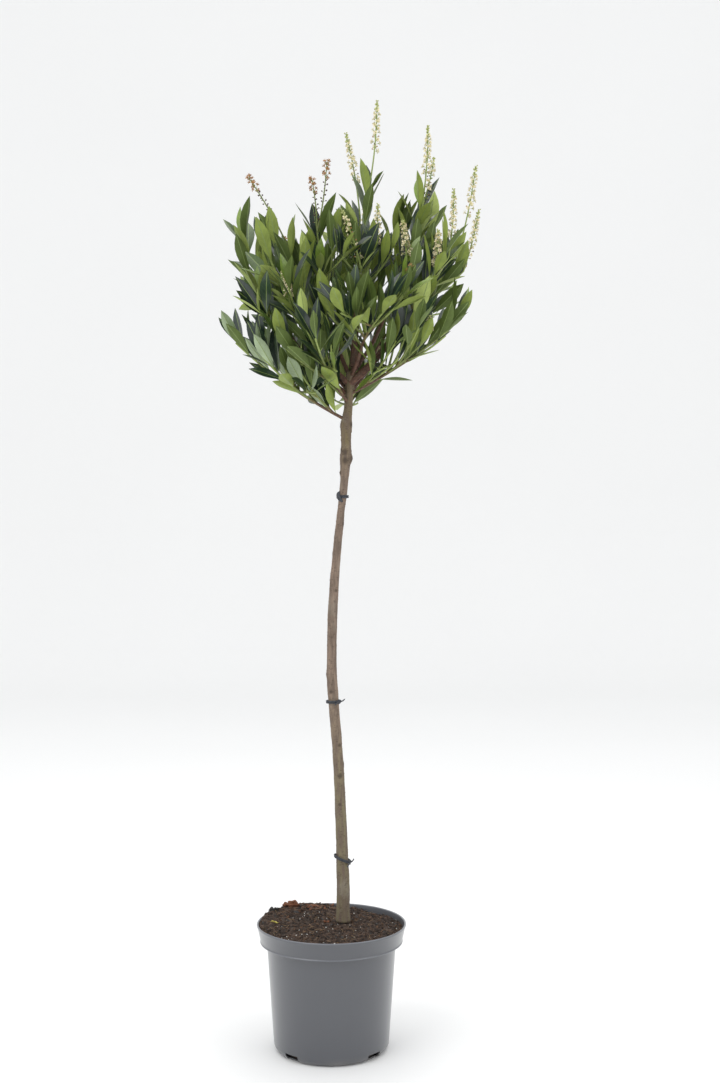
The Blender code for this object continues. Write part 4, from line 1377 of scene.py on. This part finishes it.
def leading_shoots(mass, shoots):
    """The mass's leading shoot and those that branch from it, spread along its lower half."""
    (first_tip, _), *others = shoots
    stem = stem_line(MASSES[mass][0], Vector(first_tip))
    radii = tapered(STEM_RADIUS, SHOOT_TIP_RADIUS, len(stem))
    made = [Shoot(mass, stem, radii, LEAVES_PER_LEADER, 0)]
    for i, (side_tip, _) in enumerate(others):
        share = FIRST_FORK + (LAST_FORK - FIRST_FORK) * i / max(1, len(others) - 1)
        start, _ = along(stem, share)
        line = arching(start, Vector(side_tip))
        made.append(Shoot(mass, line, side_radii(len(line)), LEAVES_PER_SHOOT, 1))
    return made


def short_twigs(mass, shoots, rng, count, shares, length=TWIG_LENGTH, lift=TWIG_LIFT):
    """Short twigs that leave the mass's shoots at a seeded place and turn."""
    made = []
    for i in range(count):
        parent = shoots[i % len(shoots)]
        start, heading = along(parent.points, rng.uniform(*shares))
        across = spin(rng, heading) @ heading.orthogonal()
        lean = swung(heading, across.normalized(), TWIG_SPREAD)
        end = start + (lean + UP * lift).normalized() * rng.uniform(*length)
        line = arching(start, end)
        made.append(Shoot(mass, line, side_radii(len(line)), LEAVES_PER_TWIG, 2))
    return made


def in_crown(point):
    head, _ = trunk_at(CROWN_FOOT)
    reach = math.hypot(point.x - head.x, point.y - head.y)
    foot = CROWN_FOOT + CROWN_FOOT_RISE * max(0, reach - CROWN_FOOT_RADIUS)
    top = CROWN_LEAF_TOP - CROWN_LEAF_TOP_FALL * reach
    from_waist = (point.z - CROWN_WAIST_AT) / CROWN_WAIST_REACH
    left = CROWN_LEFT + CROWN_WAIST * math.exp(-(from_waist**2))
    inside = left < point.x < CROWN_RIGHT and abs(point.y) < CROWN_HALF_DEPTH
    return inside and foot < point.z < top


def in_opening(point):
    """True in front of the fork, and where the sky shows between boughs."""
    across, height, radius = FORK_OPENING
    before_fork = point.y < 0 and math.hypot(point.x - across, point.z - height) < radius
    return before_fork or any(
        math.hypot(point.x - across, point.z - height - rise * point.y) < radius
        for across, height, radius, rise in SKY_OPENINGS
    )


def distance_back(index):
    """How far behind its shoot's tip the leaf at this index stands."""
    steps = (FIRST_INTERNODE + INTERNODE_GROWTH * k for k in range(index + 1))
    return sum(min(step, LONGEST_INTERNODE) for step in steps)


class Foliage:
    """The leaves placed so far, with what they keep clear of."""

    def __init__(self, settings, wood):
        self.length = settings.length
        self.width = settings.width
        self.wood = wood
        self.leaves = []
        self.trees = []
        self.sort_places()

    def sort_places(self):
        self.places = kdtree.KDTree(len(self.leaves))
        for i, leaf in enumerate(self.leaves):
            self.places.insert(leaf.place(0.5, 0), i)
        self.places.balance()

    def leaf_for(self, shoot, index, turn, rng, attempt):
        """The leaf at this index from the shoot's tip. Each later attempt turns it further."""
        share = 1 - distance_back(index) / line_length(shoot.points)
        root, heading = along(shoot.points, max(LOWEST_LEAF, share))
        age = min(1, index / LEAF_OPEN_AFTER)
        sway = LEAF_TURN_PER_TRY * ((attempt + 1) // 2) * (-1) ** attempt
        around = Matrix.Rotation(turn + index * LEAF_TURN + sway, 3, heading)
        across = (around @ heading.orthogonal()).normalized()
        opening = LEAF_OPEN_TIP + (LEAF_OPEN_BASE - LEAF_OPEN_TIP) * age**LEAF_OPEN_CURVE
        varied = math.radians(rng.uniform(-LEAF_OPEN_VARIES, LEAF_OPEN_VARIES))
        opening += varied + LEAF_OPEN_PER_TRY * (attempt % 3)
        opening += LEAF_SPRAWL_BY * (rng.random() < LEAF_SPRAWL)
        lean = (swung(heading, across, opening) + UP * LEAF_LIFT).normalized()
        face = heading * math.sin(opening) - across * math.cos(opening) + UP * LEAF_FACE_UP
        face = Matrix.Rotation(rng.uniform(-LEAF_TWIST, LEAF_TWIST), 3, lean) @ face
        size = YOUNGEST_LEAF + (1 - YOUNGEST_LEAF) * min(1, index / YOUNG_LEAVES)
        size = size * rng.uniform(*LEAF_SIZES) * (1 - OLD_LEAF_LOSS * age)
        size *= 1 - LEAF_LOSS_PER_ROUND * (attempt // 3)
        width = self.width * size * rng.uniform(*LEAF_WIDTHS)
        return Leaf(shoot, root, lean, face, self.length * size, width, age)

    def is_free(self, leaf, recent):
        """True where the leaf stays in the crown and clears the wood, spikes and leaves."""
        if not all(in_crown(leaf.place(t, 0)) for t in (0.5, 1)):
            return False
        if any(in_opening(leaf.place(t, 0)) for t in OPENING_TESTS):
            return False
        blade = surface(leaf.outline(ROOT_FREE), OUTLINE_FACES)
        if any(blade.overlap(tree) for _, tree in self.wood):
            return False
        middle = leaf.place(0.5, 0)
        near = self.places.find_range(middle, leaf.length * NEAR)
        trees = [self.trees[i] for _, i, _ in near] + recent
        return not any(blade.overlap(tree) for tree in trees)

    def grow(self, shoot, indices, rng):
        turn = rng.uniform(0, math.tau)
        room = line_length(shoot.points)
        made, recent = [], []
        for index in indices:
            if distance_back(index) > room * LEAFY_SHARE:
                break
            for attempt in range(TRIES):
                leaf = self.leaf_for(shoot, index, turn, rng, attempt)
                if self.is_free(leaf, recent):
                    recent.append(surface(leaf.outline(ROOT_FREE), OUTLINE_FACES))
                    made.append(leaf)
                    break
        self.leaves += made
        self.trees += recent
        self.sort_places()


def without_clashes(shoots, kept, wood):
    """Leaves out a twig that would touch a limb or another mass's wood."""
    for shoot in shoots:
        tree = surface(*tube(shoot.points, shoot.radii, 4))
        stem = shoot.rank == 0
        own = (shoot.mass, "trunk") if stem else (shoot.mass,)
        if not stem and any(tree.overlap(other) for mass, other in wood if mass not in own):
            continue
        kept.append(shoot)
        wood.append((shoot.mass, tree))


class Crown:
    """The wood, spikes and leaves of the whole crown, grown once and then meshed by kind."""

    def __init__(self, settings):
        wood = self.limbs()
        leaders = {mass: leading_shoots(mass, MASSES[mass][1:]) for mass in MASSES}
        first, finer, inner = [], [], []
        for number, mass in enumerate(MASSES):
            rng = seeded("twigs", number)
            own = leaders[mass]
            first += own + short_twigs(mass, own, rng, TWIGS_PER_MASS, TWIG_FROM)
            rng = seeded("finer twigs", number)
            finer += short_twigs(mass, own, rng, FINER_TWIGS_PER_MASS, FINER_TWIG_FROM)
            if mass in INNER_MASSES:
                rng = seeded("inner twigs", number)
                inner += short_twigs(
                    mass, own[:1], rng, INNER_TWIGS_PER_MASS, INNER_TWIG_FROM,
                    INNER_TWIG_LENGTH, INNER_TWIG_LIFT,
                )
        self.shoots = []
        without_clashes(first, self.shoots, wood)
        named = len(self.shoots)
        self.spikes = [
            spike for mass in MASSES for spike in self.flower_spikes(mass, leaders[mass])
        ]
        for mass, line, _ in self.spikes:
            wood.append((mass, surface(*tube([line[0], line[-1]], SPIKE_SPACE, 4))))
        self.foliage = Foliage(settings, wood)
        for number, shoot in enumerate(self.shoots):
            self.foliage.grow(shoot, range(shoot.leaves), seeded("leaves", number))
        without_clashes(finer, self.shoots, wood)
        without_clashes(inner, self.shoots, wood)
        for number, shoot in enumerate(self.shoots):
            shoot.number = number
            start = shoot.leaves if number < named else 0
            high = shoot.points[-1].z > HIGH_SHOOT
            more = range(start, start + (MORE_LEAVES_HIGH if high else MORE_LEAVES))
            self.foliage.grow(shoot, more, seeded("more leaves", number))

    def limbs(self):
        heights = [TRUNK_BASE + row[0] for row in TRUNK_STATIONS]
        middles, radii = zip(*(trunk_at(height) for height in heights))
        wood = [("trunk", surface(*tube(middles, radii, 8)))]
        for name, (_, _, thick, thin) in BOUGHS.items():
            line = bough_line(name)
            wood.append((name, surface(*tube(line, tapered(thick, thin, len(line)), 6))))
        return wood

    def flower_spikes(self, mass, shoots):
        """(mass, line, bloom) of each flower spike, from its shoot's tip to its own tip."""
        for shoot, (_, spikes) in zip(shoots, MASSES[mass][1:]):
            for tip, bloom in spikes:
                base, tip = shoot.points[-1], Vector(tip)
                sag = (tip - base).orthogonal().normalized() * (tip - base).length * SPIKE_SAG
                shares = [k / SPIKE_STEPS for k in range(SPIKE_STEPS + 1)]
                line = [base.lerp(tip, s) + sag * math.sin(math.pi * s) for s in shares]
                yield mass, line, bloom


crown_store = {}


class LAUREL_OT_twigs(bpy.types.Operator):
    """Grows the crown by its seeded rule and makes its twigs"""

    bl_idname = "laurel.twigs"
    bl_label = "Grow Twigs"

    def execute(self, context):
        crown = crown_store["crown"] = Crown(context.scene.laurel_leaf)
        batch = Batch()
        for shoot in crown.shoots:
            points, faces = tube(shoot.points, shoot.radii, SHOOT_SIDES)
            batch.add(points, faces, self.tones(shoot, len(faces)))
        for mass, line, bloom in crown.spikes:
            points, faces = tube(line, tapered(*SPIKE_RADII, len(line)), 6)
            batch.add(points, faces, 3 if bloom != "spent" else 2)
        materials = [
            speckled("old twig bark", (0.115, 0.062, 0.038), 0.7, 300, 0.4),
            speckled("ripening twig", (0.150, 0.120, 0.040), 0.6, 260, 0.3),
            speckled("green twig", (0.170, 0.210, 0.050), 0.5, 260, 0.2),
            speckled("young green stem", (0.260, 0.330, 0.085), 0.45, 260, 0.15),
        ]
        finished(batch.made("twigs", materials, 60), "foliage", *MASS_NODES)
        return {"FINISHED"}

    def tones(self, shoot, count):
        """Brown at the root and green at the tip, by the ring that a face belongs to."""
        limits = RIPENING[shoot.rank]
        return [sum(number / count > limit for limit in limits) for number in range(count)]


class LAUREL_OT_leaves(bpy.types.Operator):
    """Makes the crown's leaves, glossy above and dull below, in tones dealt out by spray"""

    bl_idname = "laurel.leaves"
    bl_label = "Make Leaves"

    DEEP, DARK, MID, YOUNG, OLIVE, MOSS, PALE, SAGE, RIB, STALK = range(10)
    UPPER = (
        ("deep", (0.0080, 0.0225, 0.0130)), ("dark", (0.0180, 0.0410, 0.0170)),
        ("mid", (0.0610, 0.1060, 0.0200)), ("young", (0.1650, 0.2500, 0.0320)),
    )
    UNDER = (
        ("olive", (0.2300, 0.2950, 0.0600)), ("moss", (0.0950, 0.1380, 0.0300)),
        ("pale", (0.3700, 0.4500, 0.1300)), ("sage", (0.3300, 0.4100, 0.2500)),
    )

    # Weights of the spray's and the leaf's own draw, and the draws at which the tone changes
    UPPER_WEIGHTS = (0.55, 0.45)
    UPPER_LIMITS = (0.34, 0.66)
    UNDER_WEIGHTS = (0.5, 0.5)
    UNDER_LIMITS = (0.48, 0.74)
    YOUNG_AGE = 0.2
    YOUNG_CHANCE = 0.45
    SAGE_CHANCE = 0.5
    RIB_WIDTH = 0.055
    BLADE_ARCHES = (0.2, 2.3)
    BLADE_FOLDS = (0.5, 2.2)
    BLADE_WAVES = (0.0, 0.035)
    BLADE_TWIST = 0.16

    def execute(self, context):
        settings = context.scene.laurel_leaf
        crown = crown_store["crown"]
        shape = self.template(settings.thickness)
        batch = Batch()
        for number, leaf in enumerate(crown.foliage.leaves):
            self.add_leaf(batch, leaf, shape, seeded("leaf shapes", number))
        materials = [self.upper(name, colour) for name, colour in self.UPPER]
        materials += [self.under(name, colour) for name, colour in self.UNDER]
        materials += [
            speckled("pale midrib", (0.190, 0.260, 0.070), 0.4, 300, 0.12, Coat_Weight=0.2),
            speckled("leaf stalk", (0.250, 0.310, 0.080), 0.45, 300, 0.15),
        ]
        finished(batch.made("leaves", materials, 55), "foliage", *MASS_NODES)
        return {"FINISHED"}

    def template(self, thickness):
        """Rows of (t, across, lift) of a blade and its faces by part: upper, under, rib, stalk."""
        places, faces = [], []
        rib = self.RIB_WIDTH
        for t, half in LEAF_OUTLINE[:-1]:
            swell = thickness / 2 * min(1, half * 1.6)
            places += [(t, -half, 0), (t, -rib, swell), (t, rib, swell), (t, half, 0)]
            places += [(t, rib, -swell * 1.5), (t, -rib, -swell * 1.5)]
        tip = len(places)
        places.append((1.0, 0.0, 0.0))
        count = len(LEAF_OUTLINE) - 1
        for i in range(count):
            a = i * 6
            for k, part in ((0, 0), (1, 2), (2, 0), (3, 1), (4, 2), (5, 1)):
                p, q = a + k, a + (k + 1) % 6
                if i < count - 1:
                    faces.append((part, [p, q, q + 6, p + 6]))
                else:
                    faces.append((part, [p, q, tip]))
        stalk = len(places)
        for t, half in ((0.0, 0.075), (0.10, 0.06)):
            places += [(t, -half, 0.0), (t, half, 0.0), (t, 0.0, -thickness * 0.9)]
        for k in range(3):
            p, q = stalk + k, stalk + (k + 1) % 3
            faces.append((3, [p, q, q + 3, p + 3]))
        faces.append((3, [stalk + 2, stalk + 1, stalk]))
        return places, faces

    def add_leaf(self, batch, leaf, shape, rng):
        places, faces = shape
        arch = LEAF_ARCH * rng.uniform(*self.BLADE_ARCHES)
        fold = LEAF_FOLD * rng.uniform(*self.BLADE_FOLDS)
        wave = rng.uniform(*self.BLADE_WAVES) * leaf.width
        phase = rng.uniform(0, math.tau)
        twist = rng.gauss(0, self.BLADE_TWIST)
        points = []
        for t, across, lift in places:
            ripple = wave * math.sin(9 * t + phase + (0.8 if across > 0 else 0)) * abs(across)
            turned = leaf.face * (across * leaf.width / 2 * twist * t)
            point = leaf.place(t, across, lift + ripple, arch, fold)
            points.append(point + turned)
        slots = (*self.tones(leaf, rng), self.RIB, self.STALK)
        slots = [slots[part] for part, _ in faces]
        corners = [(0.5 + across / 2, t) for t, across, _ in places]
        batch.add(points, [face for _, face in faces], slots, corners)

    def tones(self, leaf, rng):
        """A spray's own tone, with young leaves brighter and the low left shoots paler below."""
        spray = seeded("sprays", leaf.shoot.number)

        def drawn(weights, limits, tones):
            draw = spray.random() * weights[0] + rng.random() * weights[1]
            return tones[sum(draw >= limit for limit in limits)]

        upper = drawn(self.UPPER_WEIGHTS, self.UPPER_LIMITS, (self.DEEP, self.DARK, self.MID))
        if leaf.age < self.YOUNG_AGE and rng.random() < self.YOUNG_CHANCE:
            upper = self.YOUNG
        under = drawn(self.UNDER_WEIGHTS, self.UNDER_LIMITS, (self.MOSS, self.OLIVE, self.PALE))
        if leaf.mass == "mass_low_left" and rng.random() < self.SAGE_CHANCE:
            under = self.SAGE
        return upper, under

    def veins(self, finish):
        """Side veins that leave the midrib and turn towards the tip, from the blade's own map."""
        blade = finish.node("ShaderNodeUVMap", {"uv_map": "blade"}, {}, "UV")
        across, length = finish.axis("X", blade), finish.axis("Y", blade)
        reach = (across - 0.5).size() * 2
        wave = (length * 9.0 - reach * 1.5 + 4).folded(0.5)
        return wave.between(0.10, 0.0)

    def blade(self, finish, colour, scales, shades):
        """Colours a blade, cloudy and with pale veins. Returns its clouds, grain and veins."""
        cloud, fine = (finish.grain(scale, 3) for scale in scales)
        veins = self.veins(finish)
        dark, pale, vein = shades
        base = finish.varied(cloud.between(0.3, 0.7), colour, dark, pale)
        finish.coloured(finish.mixed(veins * 0.30, base, shade(colour, vein)))
        return cloud, fine, veins

    def upper(self, name, colour):
        finish = Finish(f"leaf upper {name}", 0.30, Coat_Weight=0.42, Coat_Roughness=0.18)
        cloud, fine, veins = self.blade(finish, colour, (34, 420), (0.78, 1.25, 2.2))
        finish.feed("Roughness", cloud * 0.14 + 0.24)
        return finish.bumped(fine * 0.35 - veins * 0.5, 0.35, 0.0007).material

    def under(self, name, colour):
        finish = Finish(f"leaf underside {name}", 0.55, Specular_IOR_Level=0.32)
        _, fine, veins = self.blade(finish, colour, (30, 500), (0.84, 1.16, 1.5))
        return finish.bumped(fine * 0.3 + veins * 0.6, 0.35, 0.0006).material


class LAUREL_OT_flowers(bpy.types.Operator):
    """Sets flowers, buds and spent cups in a spiral up each flower spike"""

    bl_idname = "laurel.flowers"
    bl_label = "Make Flowers"

    GREEN, PETAL, STAMEN, BUD, HUSK, DOT, CREAM = range(7)
    SPACING = {"full": 0.0017, "fresh": 0.0023, "fading": 0.0027, "spent": 0.0034}

    # Shares of the climb up a spike at which its flowers change, and chances of a lost one
    SPENT_TIP = 0.66
    BUDS = 0.90
    BUD_SPAN = 0.10
    CLOSED = 0.80
    FALLEN = 0.30
    FADED = 0.60
    FALLEN_CHANCE = 0.35
    FADED_CHANCE = 0.65

    STALK_RADII = (0.00055, 0.00045)
    STALK_LENGTHS = (0.0066, 0.0032)
    SPENT_REACH = 0.0035
    BARE_LEAST = 0.12
    PETALS = 5

    def execute(self, context):
        settings = context.scene.laurel_flower
        batch = Batch()
        for number, (_, line, bloom) in enumerate(crown_store["crown"].spikes):
            self.dress(batch, line, bloom, settings, seeded("flowers", number))
        petal = tuple(settings.petal_colour)
        materials = [
            speckled("flower stalk", (0.300, 0.370, 0.110), 0.5, 400, 0.15),
            speckled("petal", petal, 0.55, 500, 0.08),
            speckled("stamen", (0.66, 0.58, 0.27), 0.6, 500, 0.12),
            speckled("flower bud", (0.40, 0.43, 0.16), 0.55, 500, 0.25),
            speckled("dried flower husk", (0.400, 0.215, 0.085), 0.85, 500, 0.35),
            speckled("withered cup", (0.070, 0.034, 0.022), 0.8, 500, 0.4),
            speckled("closed cream bud", (0.70, 0.69, 0.36), 0.5, 500, 0.1),
        ]
        finished(batch.made("flowers", materials, 40), "foliage", *MASS_NODES)
        return {"FINISHED"}

    def dress(self, batch, line, bloom, settings, rng):
        """Flowers sit on the upper part of the spike, closer together towards its tip."""
        length = line_length(line)
        bare = max(self.BARE_LEAST, 1 - FLOWERED_LENGTH / length)
        count = int(length * (1 - bare) / self.SPACING[bloom])
        for i in range(count):
            climb = 1 - (1 - (i + 0.5) / count) ** 1.15
            place, heading = along(line, bare + (1 - bare) * climb)
            turn = i * LEAF_TURN + rng.uniform(-0.4, 0.4)
            out = (Matrix.Rotation(turn, 3, heading) @ heading.orthogonal()).normalized()
            out = (out + heading * (0.25 + 1.1 * climb**2) + UP * 0.1).normalized()
            longest, shorter = self.STALK_LENGTHS
            stalk = (longest - shorter * climb) * rng.uniform(0.65, 1.25)
            self.add_flower(batch, place, out, stalk, climb, bloom, settings.diameter, rng)

    def add_flower(self, batch, place, out, stalk, climb, bloom, diameter, rng):
        """One flower on its stalk, open low on the spike and still in bud near the tip."""
        end = place + out * stalk
        batch.add(*tube([place, end], self.STALK_RADII, 3), self.GREEN)
        if bloom == "spent":
            if climb > self.SPENT_TIP:
                end = place + out * (stalk + self.SPENT_REACH)
                batch.add(*tube([place, end], self.STALK_RADII, 3), self.GREEN)
                self.add_cup(batch, end, out, 0.0018, self.HUSK)
                self.add_petals(batch, end, out, diameter * 0.50, self.HUSK, rng)
                self.add_star(batch, end, out, diameter * 0.60, self.HUSK, rng)
            else:
                self.add_cup(batch, end, out, rng.uniform(0.0014, 0.0021), self.DOT)
        elif climb > self.BUDS:
            size = 0.0016 + 0.0011 * (1 - climb) / self.BUD_SPAN
            self.add_cup(batch, end, out, size, self.BUD)
        elif climb < self.FALLEN and rng.random() < self.FALLEN_CHANCE:
            self.add_cup(batch, end, out, 0.0016, rng.choice((self.DOT, self.HUSK)))
        elif climb > self.CLOSED and bloom != "full":
            self.add_cup(batch, end, out, 0.0023, rng.choice((self.BUD, self.CREAM)))
        elif bloom == "fading" and climb < self.FADED and rng.random() < self.FADED_CHANCE:
            slot = rng.choice((self.DOT, self.HUSK, self.GREEN))
            self.add_cup(batch, end, out, 0.0017, slot)
        else:
            self.add_cup(batch, end, out, 0.0014, self.GREEN)
            size = diameter / 2 * rng.uniform(0.85, 1.15) * (1 - 0.20 * climb)
            self.add_petals(batch, end + out * 0.0012, out, size, self.PETAL, rng)
            self.add_star(batch, end + out * 0.0014, out, size * 0.9, self.STAMEN, rng)

    def frame_of(self, out, rng):
        side = (spin(rng, out) @ out.orthogonal()).normalized()
        return side, out.cross(side)

    def add_cup(self, batch, middle, out, size, slot):
        side = out.orthogonal().normalized()
        across = out.cross(side)
        points = [middle - out * size]
        for rise, wide in ((-0.2, 0.85), (0.6, 0.75)):
            for k in range(5):
                ring = swung(side, across, math.tau * k / 5)
                points.append(middle + out * size * rise + ring * size * wide)
        points.append(middle + out * size * 1.15)
        faces = [[0, 1 + (k + 1) % 5, 1 + k] for k in range(5)]
        faces += [[1 + k, 1 + (k + 1) % 5, 6 + (k + 1) % 5, 6 + k] for k in range(5)]
        faces += [[6 + k, 6 + (k + 1) % 5, 11] for k in range(5)]
        batch.add(points, faces, slot)

    def add_petals(self, batch, middle, out, size, slot, rng):
        """Rounded petals, a little cupped, with a face on both sides."""
        side, across = self.frame_of(out, rng)
        for k in range(self.PETALS):
            a = math.tau * k / self.PETALS
            ray = swung(side, across, a)
            wide = (across * math.cos(a) - side * math.sin(a)) * size * 0.42
            rise = out * size * rng.uniform(0.05, 0.50)
            base = middle + ray * size * 0.12
            points = [
                base, middle + ray * size * 0.66 + wide + rise * 0.8,
                middle + ray * size + rise * 1.3, middle + ray * size * 0.66 - wide + rise * 0.8,
                middle + ray * size * 0.60 + rise * 0.8 - out * size * 0.12,
            ]
            batch.add(points, [[0, 1, 2, 3], [0, 4, 1], [1, 4, 2], [2, 4, 3], [3, 4, 0]], slot)

    def add_star(self, batch, middle, out, size, slot, rng):
        """A tuft of stamens, each a thin three-sided spike."""
        side, across = self.frame_of(out, rng)
        for k in range(self.PETALS):
            a = math.tau * k / self.PETALS + rng.uniform(-0.2, 0.2)
            ray = swung(side, across, a)
            tip = middle + (ray * rng.uniform(0.35, 0.8) + out * rng.uniform(0.7, 1.1)) * size
            wide = ray.cross(out).normalized() * size * 0.09
            points = [middle + wide, middle - wide, middle + out * size * 0.16, tip]
            batch.add(points, [[0, 1, 3], [1, 2, 3], [2, 0, 3], [2, 1, 0]], slot)


# Studio


class LAUREL_OT_stage(bpy.types.Operator):
    """Sets the plain floor and backdrop, the soft lights and the camera"""

    bl_idname = "laurel.stage"
    bl_label = "Set Stage"

    CAMERA_PLACE = (0.0537, -2.60, 0.952)
    AIM = Vector((0.02, 0, 0.9))
    FLOOR_SIZE = 12
    FLOOR_TOP = -0.0004
    SWEEP_STEPS = 8
    SWEEP_STEP = 0.25
    WALL_HEIGHT = 6

    # Soft lights: name, place, size, power
    LIGHTS = (
        ("soft key", (-2.2, -2.2, 3.4), 2.6, 40),
        ("soft fill", (2.8, -1.8, 2.2), 2.4, 16),
        ("soft top", (0.0, 1.0, 3.9), 3.0, 30),
    )

    def execute(self, context):
        settings = context.scene.laurel_stage
        self.lay_floor(settings)
        self.hang_lights()
        self.light_world()
        deselect()
        bpy.ops.object.camera_add(
            location=self.CAMERA_PLACE, rotation=(math.radians(90), 0, 0)
        )
        camera = bpy.context.object
        camera.data.sensor_fit = "AUTO"
        camera.data.sensor_width = 36
        camera.data.lens = settings.lens
        camera.data.dof.use_dof = False
        context.scene.camera = camera
        context.scene.view_settings.view_transform = "Standard"
        return {"FINISHED"}

    def lay_floor(self, settings):
        """A floor that sweeps up into a backdrop far behind the plant."""
        deselect()
        bpy.ops.mesh.primitive_plane_add(size=self.FLOOR_SIZE, location=(0, 0, self.FLOOR_TOP))
        floor = bpy.context.object
        floor.name = floor.data.name = "studio_floor"
        bpy.ops.object.transform_apply()
        bpy.ops.object.mode_set(mode="EDIT")
        bpy.ops.mesh.select_all(action="DESELECT")
        bpy.ops.object.mode_set(mode="OBJECT")
        for edge in floor.data.edges:
            edge.select = all(floor.data.vertices[i].co.y > 0 for i in edge.vertices)
        bpy.ops.object.mode_set(mode="EDIT")
        bpy.ops.mesh.select_mode(type="EDGE")
        for k in range(self.SWEEP_STEPS):
            angle = math.radians(90 * (k + 0.5) / self.SWEEP_STEPS)
            step = Vector((0, math.cos(angle), math.sin(angle))) * self.SWEEP_STEP
            bpy.ops.mesh.extrude_region_move(TRANSFORM_OT_translate={"value": step})
        rise = (0, 0, self.WALL_HEIGHT)
        bpy.ops.mesh.extrude_region_move(TRANSFORM_OT_translate={"value": rise})
        bpy.ops.object.mode_set(mode="OBJECT")
        smooth(floor, 30)
        finish = Finish("studio paper", 0.85, Specular_IOR_Level=0.2)
        colour = tuple(settings.backdrop_colour)
        cloud = finish.grain(0.6, 2)
        finish.coloured(finish.varied(cloud, colour, 0.985, 1.015))
        floor.data.materials.append(finish.material)

    def hang_lights(self):
        for name, place, size, power in self.LIGHTS:
            deselect()
            bpy.ops.object.light_add(type="AREA", location=place)
            light = bpy.context.object
            light.name = name
            light.data.shape = "SQUARE"
            light.data.size = size
            light.data.energy = power
            aim = self.AIM - light.location
            light.rotation_euler = aim.to_track_quat("-Z", "Y").to_euler()

    def light_world(self):
        world = bpy.data.worlds.new("studio")
        world.use_nodes = True
        background = world.node_tree.nodes["Background"].inputs
        background["Color"].default_value = (0.98, 0.99, 1.0, 1)
        background["Strength"].default_value = 0.95
        bpy.context.scene.world = world


class LAUREL_PT_panel(bpy.types.Panel):
    """The plant's makers and their settings"""

    bl_idname = "LAUREL_PT_panel"
    bl_label = "Potted Standard Laurel"
    bl_space_type = "VIEW_3D"
    bl_region_type = "UI"
    bl_category = "Laurel"

    def draw(self, context):
        for group, (_, names) in GROUPS.items():
            box = self.layout.box()
            settings = getattr(context.scene, group)
            for field in settings.__annotations__:
                box.prop(settings, field)
            for name in names:
                box.operator(name)


# The settings on the scene, and the operators that share their box in the panel
GROUPS = {
    "laurel_pot": (LaurelPotSettings, ("laurel.pot",)),
    "laurel_soil": (LaurelSoilSettings, ("laurel.soil",)),
    "laurel_bark": (LaurelBarkSettings, ("laurel.trunk", "laurel.ties")),
    "laurel_leaf": (LaurelLeafSettings, ("laurel.twigs", "laurel.leaves")),
    "laurel_flower": (LaurelFlowerSettings, ("laurel.flowers",)),
    "laurel_stage": (LaurelStageSettings, ("laurel.stage",)),
}
CLASSES = (
    *(settings for settings, _ in GROUPS.values()),
    LAUREL_OT_pot, LAUREL_OT_soil, LAUREL_OT_trunk, LAUREL_OT_ties,
    LAUREL_OT_twigs, LAUREL_OT_leaves, LAUREL_OT_flowers, LAUREL_OT_stage, LAUREL_PT_panel,
)


def register():
    for item in CLASSES:
        bpy.utils.register_class(item)
    for name, (settings, _) in GROUPS.items():
        setattr(bpy.types.Scene, name, bpy.props.PointerProperty(type=settings))


def unregister():
    for name in GROUPS:
        delattr(bpy.types.Scene, name)
    for item in reversed(CLASSES):
        bpy.utils.unregister_class(item)


def main():
    register()
    for make in (
        bpy.ops.laurel.pot, bpy.ops.laurel.soil, bpy.ops.laurel.trunk, bpy.ops.laurel.ties,
        bpy.ops.laurel.twigs, bpy.ops.laurel.leaves, bpy.ops.laurel.flowers, bpy.ops.laurel.stage,
    ):
        make()


if __name__ == "__main__":
    main()
